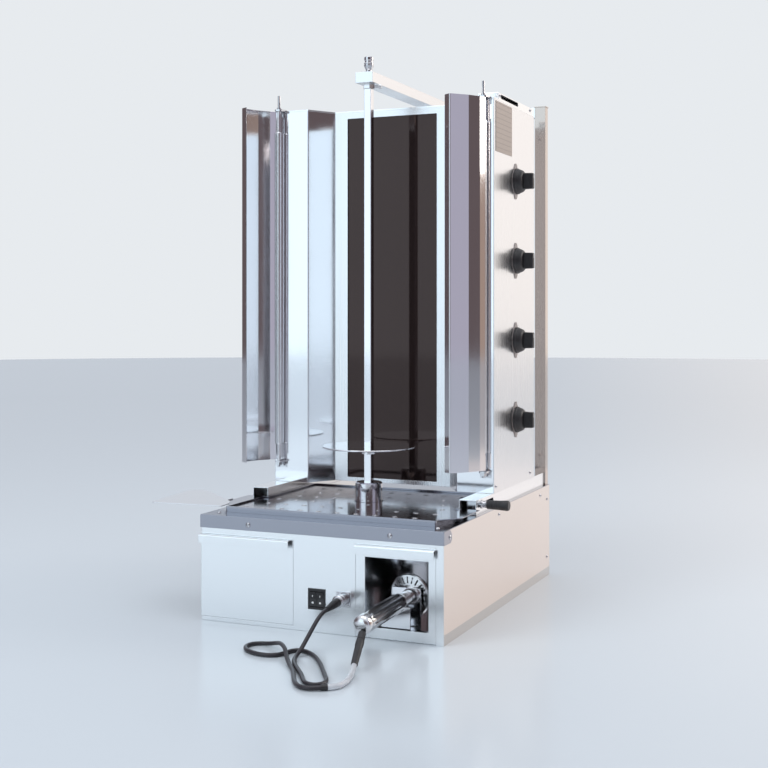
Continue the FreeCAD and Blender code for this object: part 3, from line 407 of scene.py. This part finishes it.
# %% Lathe and piece helpers
def add_piece(name, mesh, body, slot, finish=None, replaced=()):
    obj = bpy.data.objects.new(name, mesh)
    bpy.context.scene.collection.objects.link(obj)
    dress(obj, finish or finishes[slot])
    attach(obj, body)
    if replaced:
        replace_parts(obj, *replaced)
    return obj


def close_mesh(name, work, smooth_angle=35.0):
    bmesh.ops.remove_doubles(work, verts=work.verts, dist=1e-6)
    bmesh.ops.recalc_face_normals(work, faces=work.faces)
    mesh = bpy.data.meshes.new(name)
    work.to_mesh(mesh)
    work.free()
    mesh.shade_smooth()
    mesh.set_sharp_from_angle(angle=math.radians(smooth_angle))
    return mesh


def axis_turn(axis):
    return Vector(axis).normalized().to_track_quat("Z", "Y").to_matrix().to_4x4()


def turn_into(work, profile, base, axis, steps=48):
    """Adds a closed turned solid: profile is (distance along the axis, radius) pairs in mm."""
    stand = Matrix.Translation(Vector(base)) @ axis_turn(axis)
    rings = []
    for along, radius in profile:
        if radius <= 0:
            rings.append([work.verts.new(stand @ Vector((0, 0, along * MM)))])
            continue
        rings.append([work.verts.new(stand @ Vector((
            radius * MM * math.cos(2 * math.pi * i / steps),
            radius * MM * math.sin(2 * math.pi * i / steps), along * MM))) for i in range(steps)])
    for low, high in zip(rings, rings[1:]):
        for i in range(steps):
            j = (i + 1) % steps
            corners = [low[i % len(low)], low[j % len(low)],
                       high[j % len(high)], high[i % len(high)]]
            work.faces.new(list(dict.fromkeys(corners)))
    for ring, turned_over in ((rings[0], True), (rings[-1], False)):
        if len(ring) > 1:
            work.faces.new(ring[::-1] if turned_over else ring)


def ease(obj, width, segments=2, angle=30.0):
    """Rounds the sharp edges of a finished piece."""
    rounding = obj.modifiers.new("rounding", "BEVEL")
    rounding.width, rounding.segments = width, segments
    rounding.limit_method, rounding.angle_limit = "ANGLE", math.radians(angle)
    rounding.harden_normals = True
    return obj


def turned_piece(name, profile, base, axis, body, slot, replaced=(), easing=0.0004, steps=48):
    work = bmesh.new()
    turn_into(work, profile, base, axis, steps)
    obj = add_piece(name, close_mesh(name, work), body, slot, replaced=replaced)
    return ease(obj, easing)


# %% [markdown]
# ## The cord and its sleeve
# A cord is one real length of something limp, so it is a curve through listed points with a round
# bevel, and it lies on the counter under its own weight. The last stretch runs inside a clear sleeve
# that lifts it to the knife's handle.

# %% Cord and sleeve
CORD_RADIUS, SLEEVE_RADIUS = 4.0 * MM, 5.2 * MM
cord_route = [
    (56.2, -433, 66), (56.1, -450.5, 64.25), (54.5, -469, 55), (51.5, -486, 40),
    (48.5, -503, 24.5), (46.5, -523, 10), (50, -553, 4.2), (66, -585, 4.2), (89, -614, 4.2),
    (111, -643, 4.2), (127, -669, 4.2), (140, -684, 4.2), (157, -687, 4.2), (168, -674, 4.2),
    (164, -653, 4.2), (148, -628, 4.2), (131, -601, 4.2), (112, -571, 4.2), (91, -542, 4.2),
    (71, -519, 4.2), (52, -505, 4.2), (36, -500, 4.2), (23, -508, 4.2), (19, -525, 4.2),
    (14, -543, 4.2), (0, -554, 4.2), (-20, -555, 4.2), (-42, -548, 4.2), (-61, -535, 4.2),
    (-72, -516, 4.2), (-70, -498, 4.2), (-57, -487, 4.2), (-38, -486, 5.2), (-18, -494, 10.5),
    (1, -512, 16.4), (23, -538, 16.4), (39, -563, 9.5), (57, -588, 4.2), (79, -616, 4.2),
    (98, -648, 4.2), (115, -680, 4.2), (133, -701, 4.2), (149, -709, 4.6), (164, -706.5, 5.2),
    (175, -699, 5.5)]
sleeve_route = [
    (184.1, -692.8, 5.5), (192.4, -687.1, 5.5), (199, -674.5, 5.5), (199.5, -655, 5.5),
    (196, -632, 5.6), (189.5, -609, 6.4), (184.1, -590.5, 9.2), (181, -579.5, 12.55)]


def limp_curve(name, route, radius, slot, node):
    line = bpy.data.curves.new(name, "CURVE")
    line.dimensions = "3D"
    spline = line.splines.new("NURBS")
    spline.points.add(len(route) - 1)
    for point, (x, y, z) in zip(spline.points, route):
        point.co = (x * MM, y * MM, z * MM, 1)
    spline.order_u = 3
    spline.use_endpoint_u = True
    spline.resolution_u = 8
    line.bevel_depth, line.bevel_resolution = radius, 5
    line.use_fill_caps = True
    obj = bpy.data.objects.new(name, line)
    bpy.context.scene.collection.objects.link(obj)
    line.materials.append(finishes[slot])
    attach(obj, body_of_node[node])
    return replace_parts(obj, node)


cord = limp_curve("flex", cord_route, CORD_RADIUS, "cable_rubber", "cord")
sleeve = limp_curve("flex_sleeve", sleeve_route, SLEEVE_RADIUS, "clear_sleeve", "cord_sleeve")

# %% Plug, collar and strain relief
def mm(point):
    return Vector(point) * MM


CABINET_FRONT_Y, SOCKET_HEIGHT = -0.358, 0.0705
NUT_AHEAD, BOOT_AHEAD = 10.3 * MM, 30 * MM
RELIEF_ROOT = (0.154, -0.484, 0.045)
socket_low, socket_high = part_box("knife_socket")
socket_x = (socket_low.x + socket_high.x) / 2
nut_start = Vector((socket_x, CABINET_FRONT_Y - NUT_AHEAD, SOCKET_HEIGHT))
boot_root = Vector((socket_x, CABINET_FRONT_Y - BOOT_AHEAD, SOCKET_HEIGHT))
boot_run = mm(cord_route[0]) - boot_root
plug_work = bmesh.new()
turn_into(plug_work, [(-7.3, 8.0), (0, 8.0), (0, 11.2), (1.2, 12.4), (6, 12.4), (6.8, 11.6),
                      (9.4, 11.6), (10.2, 12.4), (16, 12.4), (18, 10.6), (19, 9)],
          nut_start, (0, -1, 0))
plug_nut = ease(add_piece("plug_nut", close_mesh("plug_nut", plug_work), "base", "plated_steel"),
                0.0004)
boot_length = boot_run.length / MM
RIDGES, FIRST_RIDGE, RIDGE_PITCH = 7, 11, 4.6
ridges = []
for i in range(RIDGES):
    along = FIRST_RIDGE + i * RIDGE_PITCH
    radius = 8.1 - i * 0.5
    ridges += [(along, radius), (along + 2.6, radius), (along + 2.9, radius - 1.3),
               (along + 4.3, radius - 1.3)]
boot = turned_piece("plug_boot", [(-2, 8.4), (8, 8.4)] + ridges + [(boot_length, 4.9)], boot_root,
                    boot_run, "base", "black_plastic", ["cord_plug"], 0.0003)

collar_start, collar_end = mm(cord_route[-1]), mm(sleeve_route[0])
collar_run = collar_end - collar_start
collar_length = collar_run.length / MM
collar = turned_piece("flex_collar", [(-0.4, 4.2), (-0.4, 4.9), (collar_length * 0.4, 5.4),
                                      (collar_length * 0.45, 5.0), (collar_length * 0.55, 5.0),
                                      (collar_length * 0.6, 5.4), (collar_length + 0.4, 5.4)],
                      collar_start, collar_run, "base", "black_plastic", easing=0.0002)
relief_start, relief_end = Vector(RELIEF_ROOT), mm(sleeve_route[-1])
relief_run = relief_end - relief_start
relief_length = relief_run.length / MM
relief = turned_piece("handle_relief",
                      [(4, 7.2), (26, 7.2), (27, 6.4), (29, 6.4), (30, 7.8), (44, 7.8), (46, 7.0),
                       (relief_length - 34, 7.0), (relief_length - 30, 6.8),
                       (relief_length - 3, 6.2), (relief_length, 5.8)],
                      relief_start, relief_run, "base", "black_plastic", ["cord_fittings"], 0.0003)

# %% [markdown]
# ## The slicing knife
# The knife is a small motor in a turned handle with a slotted guard round its blade. Its axis is
# the joint that the blade spins on, so every ring of it is placed along that line. The flutes
# follow a rule, a wave round the handle that fades out at both ends, so the rings are computed.

# %% Knife handle
spin = joints["blade_spin"]
knife_centre, knife_axis = Vector(spin["pos_m"]), Vector(spin["axis"]).normalized()
FLUTES, FLUTE_DEPTH = 10, 1.7
HANDLE_PROFILE = [
    (17, 13.0), (44, 13.0), (45, 14.4), (47, 14.4), (48, 13.4), (52, 16.4), (55, 17.6),
    (58, 18.0), (64, 18.0), (120, 18.0), (172, 18.0), (180, 18.0), (184, 17.2), (185, 17.2),
    (185.6, 18.4), (190, 18.6), (196, 18.4), (200, 17.2), (203, 14.6), (205.2, 10.0), (206.0, 4.0)]


def fluted_handle(steps=120):
    """Rings round the knife's axis, with flutes only along the grip."""
    work = bmesh.new()
    stand = Matrix.Translation(knife_centre) @ axis_turn(knife_axis)
    dense = []
    for (a, r), (b, q) in zip(HANDLE_PROFILE, HANDLE_PROFILE[1:]):
        cuts = max(1, round((b - a) / 6))
        dense += [(a + (b - a) * i / cuts, r + (q - r) * i / cuts) for i in range(cuts)]
    dense.append(HANDLE_PROFILE[-1])
    rings = []
    for along, radius in dense:
        fade = min(1.0, max(0.0, (along - 60) / 8), max(0.0, (182 - along) / 8))
        ring = []
        for i in range(steps):
            angle = 2 * math.pi * i / steps
            wave = max(0.0, math.cos(FLUTES * angle) - 0.1) / 0.9
            reach = (radius - FLUTE_DEPTH * fade * math.sqrt(wave)) * MM
            spot = Vector((reach * math.cos(angle), reach * math.sin(angle), along * MM))
            ring.append(work.verts.new(stand @ spot))
        rings.append(ring)
    for low, high in zip(rings, rings[1:]):
        for i in range(steps):
            j = (i + 1) % steps
            work.faces.new((low[i], low[j], high[j], high[i]))
    work.faces.new(rings[0][::-1])
    work.faces.new(rings[-1])
    return close_mesh("grip_rings", work, 32.0)


add_piece("slicer_handle", fluted_handle(), "base", "cast_aluminium", replaced=["knife_handle"])

# %% Blade
turned_piece("slicer_blade", [(-3.5, 0), (-3.5, 6.6), (-1.2, 9), (0, 9.4), (0, 38.2), (0.35, 39),
                              (0.6, 39), (1.3, 35), (1.3, 9), (3, 4), (23, 4)],
             knife_centre, knife_axis, body_of_node["knife_blade"], "stainless_polished",
             ["knife_blade"], 0.0002, 96)

# %% [markdown]
# ## Control knobs
# Each knob is a moulded skirt with a bar across it. The bar is a box with its sides drawn in, its
# long edges rounded by a Bevel modifier, and a white pointer line let into its end.

# %% Knobs
white_mark = moulded("white_mark", (0.72, 0.72, 0.70), 0.5)
plate_face_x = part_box("knob_plates")[1].x
KNOB_GAP = 0.3 * MM


def bar_grip(work, base, length, width, height, waist):
    """Tapered bar along +X from base, taller than it is wide."""
    rows = []
    for step in range(5):
        share = step / 4
        half_w = (width / 2) * (1 - waist * math.sin(math.pi * share)) * MM
        half_h = height / 2 * (1 - 0.05 * share) * MM
        x = base.x + length * share * MM
        rows.append([work.verts.new((x, base.y + sy * half_w, base.z + sz * half_h))
                     for sy, sz in ((-1, -1), (1, -1), (1, 1), (-1, 1))])
    for low, high in zip(rows, rows[1:]):
        for i in range(4):
            j = (i + 1) % 4
            work.faces.new((low[i], low[j], high[j], high[i]))
    work.faces.new(rows[0][::-1])
    work.faces.new(rows[-1])


def make_knob(number):
    node = f"knob_{number}"
    tip_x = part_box(node)[1].x
    joint = joints[f"{node}_turn"]
    base = Vector((plate_face_x + KNOB_GAP, joint["pos_m"][1], joint["pos_m"][2]))
    work = bmesh.new()
    turn_into(work, [(-28, 3), (0, 3), (0, 27.4), (0.8, 28.5), (5.4, 28.5), (6.4, 27.2),
                     (11, 25.6), (15.5, 23.4), (18, 20.6), (19, 17.0), (19, 0)],
              base, (1, 0, 0), 64)
    skirt = add_piece(f"knob_skirt_{number}", close_mesh("skirt", work), body_of_node[node],
                      "black_plastic", replaced=[node])
    ease(skirt, 0.0008, 3)
    work = bmesh.new()
    bar_grip(work, base + Vector((15 * MM, 0, 0)), 25.0, 15.0, 36.0, 0.10)
    grip = add_piece(f"knob_bar_{number}", close_mesh("bar", work, 50), body_of_node[node],
                     "black_plastic")
    ease(grip, 0.0026, 4, 40)
    work = bmesh.new()
    bmesh.ops.create_cube(work, size=1.0, matrix=Matrix.Translation(
        Vector((tip_x - 0.2 * MM, base.y, base.z + 10 * MM))) @ Matrix.Diagonal(
            (0.8 * MM, 1.6 * MM, 9 * MM, 1)))
    add_piece(f"knob_pointer_{number}", close_mesh("pointer", work), body_of_node[node],
              "label_foil", finish=white_mark)


for number in range(1, 5):
    make_knob(number)

# %% Marks on the rockers
def rocker_marks(node):
    """A plain bar on the upper half of a rocker and a dot on the lower half."""
    low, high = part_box(node)
    middle = (low + high) / 2
    half = (high.z - low.z) / 2
    work = bmesh.new()
    upper = Vector((middle.x, low.y + 1.35 * MM, middle.z + half * 0.5))
    lean = Matrix.Translation(upper) @ Matrix.Rotation(math.radians(-11), 4, "X")
    bmesh.ops.create_cube(work, size=1.0, matrix=lean @ Matrix.Diagonal(
        (1.3 * MM, 0.5 * MM, 6 * MM, 1)))
    lower = Vector((middle.x, low.y + 2.5 * MM, middle.z - half * 0.5))
    turn_into(work, [(0, 2.3), (0.75, 2.3)], lower, (0, -1, -0.1), 24)
    add_piece(node + "_marks", close_mesh("marks", work), body_of_node[node], "label_foil",
              finish=white_mark)


for name in ("rocker_motor", "rocker_knife"):
    rocker_marks(name)

# %% [markdown]
# ## Clamp handle, top pin and hinge tubes
# The clamp that holds the heater tower has a steel ferrule and a moulded grip, so it is two pieces
# on one body. The hinge tubes of the reflectors are satin; their near-white colour, brighter than the folded
# sheet, is partly a painted highlight.

# %% Clamp handle
RAIL_OUTER_X, CLAMP_GAP = 0.258, 0.0004
clamp_y, clamp_z = joints["clamp_turn"]["pos_m"][1:]
clamp_root = Vector((RAIL_OUTER_X + CLAMP_GAP, clamp_y, clamp_z))
turned_piece("clamp_ferrule", [(-24, 3), (0, 3), (0, 9), (1.6, 9), (2.2, 6.4), (7, 6.4),
                               (7.6, 7.4), (9.4, 7.4), (10, 6.4), (12, 6.4)],
             clamp_root, (1, 0, 0), "clamp", "plated_steel", ["clamp_grip"], 0.0003)
grip_ribs = [(11, 8.0), (12.5, 9.0)]
for i in range(5):
    start = 16 + i * 5.2
    grip_ribs += [(start, 9.2 + i * 0.15), (start + 0.8, 8.7 + i * 0.15),
                  (start + 1.6, 8.7 + i * 0.15), (start + 2.4, 9.2 + i * 0.15)]
turned_piece("clamp_handle", grip_ribs + [(46, 10.2), (53, 10.6), (57, 10.2), (58.5, 8.6)],
             clamp_root, (1, 0, 0), "clamp", "black_plastic", easing=0.0004)

# %% Top pin
PIN_HEAD = 32 * MM
pin_low, pin_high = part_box("top_pin")
spit_x, spit_y = 0.0, joints["spit_spin"]["pos_m"][1]
pin_base = Vector((spit_x, spit_y, pin_high.z - PIN_HEAD))
stem_length = (pin_base.z - pin_low.z) / MM
turned_piece("lift_pin", [(-stem_length, 4.4), (0.6 - stem_length, 5), (0, 5), (0, 6.2), (3, 6.2),
                          (5, 7.6), (12, 10.4), (13, 10.6), (14.4, 10.6), (15, 9.8), (15.8, 9.8),
                          (16.4, 10.6), (18, 10.6), (20, 9.0), (23, 9.0), (24.2, 10.2),
                          (30.4, 10.2), (31.4, 9.4), (32, 8.2)],
             pin_base, (0, 0, 1), "pin", "plated_steel", ["top_pin"], 0.0003)

# %% Hinge tubes of the reflectors
# The satin brushing is real; the near-white base colour is partly a painted highlight.
satin_tube = brushed("satin_tube", (300.0, 300.0, 3.0), 0.20, (0.92, 0.93, 0.95))
TUBE_FOOT, TUBE_SHORTER = 38, 86      # mm: above the wing's foot, and less than its height
wing_low, wing_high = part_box("wing_right")
for side in ("right", "left"):
    pivot = Vector(joints[f"wing_{side}_swing"]["pos_m"])
    tube_base = Vector((pivot.x, pivot.y, wing_low.z + TUBE_FOOT * MM))
    tube_length = (wing_high.z - wing_low.z) / MM - TUBE_SHORTER
    work = bmesh.new()
    turn_into(work, [(-1.5, 5.2), (0, 6.9), (tube_length, 6.9), (tube_length + 1.5, 5.2)],
              tube_base, (0, 0, 1), 48)
    add_piece(f"hinge_tube_{side}", close_mesh("tube", work), f"wing_{side}_body",
              "stainless_polished", finish=satin_tube)

# %% [markdown]
# ## Screws by Geometry Nodes
# The same domed screw with a cross recess sits all over the cabinet. One head is modelled on a
# square grid bent into a disc, so the cross has straight walls. A Geometry Nodes tree stands a
# copy on each marked point, turned to that point's own outward direction and scaled to its radius.

# %% One screw head
def screw_head(cells=16, height=0.58, recess=0.34):
    """Head of radius 1 on Z = 0, closed underneath."""
    work = bmesh.new()
    top = {}
    for i in range(cells + 1):
        for j in range(cells + 1):
            u, v = 2 * i / cells - 1, 2 * j / cells - 1
            x, y = u * math.sqrt(1 - v * v / 2), v * math.sqrt(1 - u * u / 2)
            reach = min(1.0, math.hypot(x, y))
            z = height * math.sqrt(max(0.0, 1 - reach * reach * 0.92))
            in_cross = (abs(u) < 0.14 and abs(v) < 0.6) or (abs(v) < 0.14 and abs(u) < 0.6)
            top[i, j] = work.verts.new((x, y, z - recess if in_cross else z))
    for i in range(cells):
        for j in range(cells):
            work.faces.new((top[i, j], top[i + 1, j], top[i + 1, j + 1], top[i, j + 1]))
    rim = ([top[i, 0] for i in range(cells)] + [top[cells, j] for j in range(cells)]
           + [top[i, cells] for i in range(cells, 0, -1)]
           + [top[0, j] for j in range(cells, 0, -1)])
    foot = [work.verts.new((v.co.x, v.co.y, 0)) for v in rim]
    for i, corner in enumerate(rim):
        following = (i + 1) % len(rim)
        work.faces.new((corner, foot[i], foot[following], rim[following]))
    work.faces.new(foot[::-1])
    return close_mesh("screw_head", work, 40)


# %% Where the screws are
def solids_of(node):
    """Boxes of the separate solids in a CAD node."""
    work = bmesh.new()
    work.from_mesh(nodes[node].data)
    bmesh.ops.remove_doubles(work, verts=work.verts, dist=2e-6)
    seen, boxes = set(), []
    for start in work.verts:
        if start in seen:
            continue
        stack, members = [start], []
        seen.add(start)
        while stack:
            corner = stack.pop()
            members.append(corner.co.copy())
            for edge in corner.link_edges:
                other = edge.other_vert(corner)
                if other not in seen:
                    seen.add(other)
                    stack.append(other)
        boxes.append((Vector([min(c[k] for c in members) for k in range(3)]),
                      Vector([max(c[k] for c in members) for k in range(3)])))
    work.free()
    return boxes


def head_on(low, high):
    """Foot, outward direction and radius of a domed head from its box."""
    size = high - low
    thin_way = min(range(3), key=lambda k: size[k])
    middle = (low + high) / 2
    outward = Vector((0, 0, 0))
    outward[thin_way] = -1.0 if middle[thin_way] < 0 else 1.0
    return middle - outward * size[thin_way] / 2, outward, max(size) / 2


# %% The tree that stands copies on points
def stand_copies(name):
    """Geometry Nodes: a copy of an object on each point, turned to 'outward', scaled by 'size'."""
    group = bpy.data.node_groups.new(name, "GeometryNodeTree")
    face = group.interface
    face.new_socket("Geometry", in_out="INPUT", socket_type="NodeSocketGeometry")
    face.new_socket("Copied", in_out="INPUT", socket_type="NodeSocketObject")
    face.new_socket("Finish", in_out="INPUT", socket_type="NodeSocketMaterial")
    face.new_socket("Scale", in_out="INPUT", socket_type="NodeSocketFloat")
    face.new_socket("Geometry", in_out="OUTPUT", socket_type="NodeSocketGeometry")
    tree = Tree(group)
    entry = group.nodes.new("NodeGroupInput")
    points, copied, metal, scale = (Wire(tree, entry.outputs[k]) for k in range(4))
    outward = tree.add("GeometryNodeInputNamedAttribute", {"data_type": "FLOAT_VECTOR"},
                       {"Name": "outward"})
    size = tree.add("GeometryNodeInputNamedAttribute", {"data_type": "FLOAT"}, {"Name": "size"})
    turn = tree.add("FunctionNodeAlignRotationToVector", {"axis": "Z"}, {"Vector": outward})
    head = tree.add("GeometryNodeObjectInfo", {"transform_space": "ORIGINAL"}, {0: copied},
                    out="Geometry")
    spread = tree.add("GeometryNodeInstanceOnPoints", None,
                      {"Points": points, "Instance": head, "Rotation": turn,
                       "Scale": size * scale})
    real = tree.add("GeometryNodeRealizeInstances", None, {0: spread})
    coated = tree.add("GeometryNodeSetMaterial", None, {0: real, "Material": metal})
    leave = group.nodes.new("NodeGroupOutput")
    group.links.new(coated.socket, leave.inputs[0])
    return group


def grown(name, points, copied, slot, body, replaced=(), scale=1.0, finish=None):
    """Runs the tree on marked points and keeps the result as a plain mesh."""
    mesh = bpy.data.meshes.new(name)
    mesh.from_pydata([p[0] for p in points], [], [])
    ways = mesh.attributes.new("outward", "FLOAT_VECTOR", "POINT")
    ways.data.foreach_set("vector", [c for p in points for c in p[1]])
    sizes = mesh.attributes.new("size", "FLOAT", "POINT")
    sizes.data.foreach_set("value", [p[2] for p in points])
    seed = bpy.data.objects.new(name + "_points", mesh)
    bpy.context.scene.collection.objects.link(seed)
    grower = seed.modifiers.new("copies", "NODES")
    grower.node_group = copy_tree
    for item in copy_tree.interface.items_tree:
        if item.in_out == "INPUT" and item.name in ("Copied", "Finish", "Scale"):
            grower[item.identifier] = {"Copied": copied, "Finish": finish or finishes[slot],
                                       "Scale": scale}[item.name]
    evaluated = seed.evaluated_get(bpy.context.evaluated_depsgraph_get())
    plain = bpy.data.meshes.new_from_object(evaluated)
    bpy.data.objects.remove(seed)
    print(name, len(points), "copies", len(plain.polygons), "faces")
    return add_piece(name, plain, body, slot, finish, replaced)


def hidden_original(name, mesh):
    """An object that only lends its mesh to copies."""
    obj = bpy.data.objects.new(name, mesh)
    obj.hide_render = True
    bpy.context.scene.collection.objects.link(obj)
    return obj


copy_tree = stand_copies("stand_copies")
head_original = hidden_original("screw_original", screw_head())
for node in ("base_screws", "tower_screws"):
    grown(node + "_heads", [head_on(*bounds) for bounds in solids_of(node)], head_original,
          "plated_steel", body_of_node[node], [node])

# %% [markdown]
# ## Pressed rims of the drip plate
# Each drain hole of the plate is pressed, which leaves a low rolled rim. The holes lie in
# staggered rows, so a loop over the same pitches as the holes gives the points, and the copy tree
# sets a low ring on each.

# %% Drip plate rims
HOLE_PITCH_X, HOLE_PITCH_Y, HOLE_RADIUS = 42 * MM, 59 * MM, 4 * MM
PLATE_FRONT_Y, PLATE_BACK_Y = -0.315, 0.072
HALF_BEFORE_RAILS, HALF_BETWEEN_RAILS = 0.233, 0.219
FIRST_ROW, LAST_ROW_GAP, RAIL_GAP = 32 * MM, 20 * MM, 20 * MM
FIRST_HOLE, LAST_HOLE_GAP, SPIT_CLEARANCE = 30 * MM, 18 * MM, 43 * MM


def low_ring(segments=20, sides=6):
    """A flattened ring round a hole of radius 1."""
    work = bmesh.new()
    rows = []
    for i in range(segments):
        angle = 2 * math.pi * i / segments
        row = []
        for j in range(sides):
            lean = 2 * math.pi * j / sides
            reach = 1.26 + 0.24 * math.cos(lean)
            row.append(work.verts.new((reach * math.cos(angle), reach * math.sin(angle),
                                       0.13 * math.sin(lean) + 0.02)))
        rows.append(row)
    for i in range(segments):
        for j in range(sides):
            a, b = rows[i], rows[(i + 1) % segments]
            k = (j + 1) % sides
            work.faces.new((a[j], b[j], b[k], a[k]))
    return close_mesh("low_ring", work, 60)


def drain_holes():
    top_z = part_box("perforated_plate")[1].z
    rail_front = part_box("deck_rails")[0].y
    points, row, y = [], 0, PLATE_FRONT_Y + FIRST_ROW
    while y < PLATE_BACK_Y - LAST_ROW_GAP:
        limit = HALF_BEFORE_RAILS if y < rail_front - RAIL_GAP else HALF_BETWEEN_RAILS
        x = -limit + FIRST_HOLE + (row % 2) * HOLE_PITCH_X / 2
        while x < limit - LAST_HOLE_GAP:
            if math.hypot(x, y - spit_y) > SPIT_CLEARANCE:
                points.append((Vector((x, y, top_z)), Vector((0, 0, 1)), HOLE_RADIUS))
            x += HOLE_PITCH_X
        row += 1
        y += HOLE_PITCH_Y
    return points


ring_original = hidden_original("ring_original", low_ring())
grown("drain_rims", drain_holes(), ring_original, "stainless_polished", "base")

# %% [markdown]
# ## The counter
# One pale disc carries the machine. It is slightly glossy, so the cabinet leaves a soft reflection
# at its foot.

# %% Counter
def counter():
    work = bmesh.new()
    bmesh.ops.create_circle(work, cap_ends=True, segments=96, radius=14.0)
    obj = bpy.data.objects.new("counter", close_mesh("counter", work))
    bpy.context.scene.collection.objects.link(obj)
    material, tree = finish_tree("pale_counter")
    close_finish(tree, {"Base Color": (0.62, 0.67, 0.71, 1), "Roughness": 0.2, "IOR": 1.3})
    dress(obj, material)


counter()
bpy.context.scene.view_settings.view_transform = "Standard"
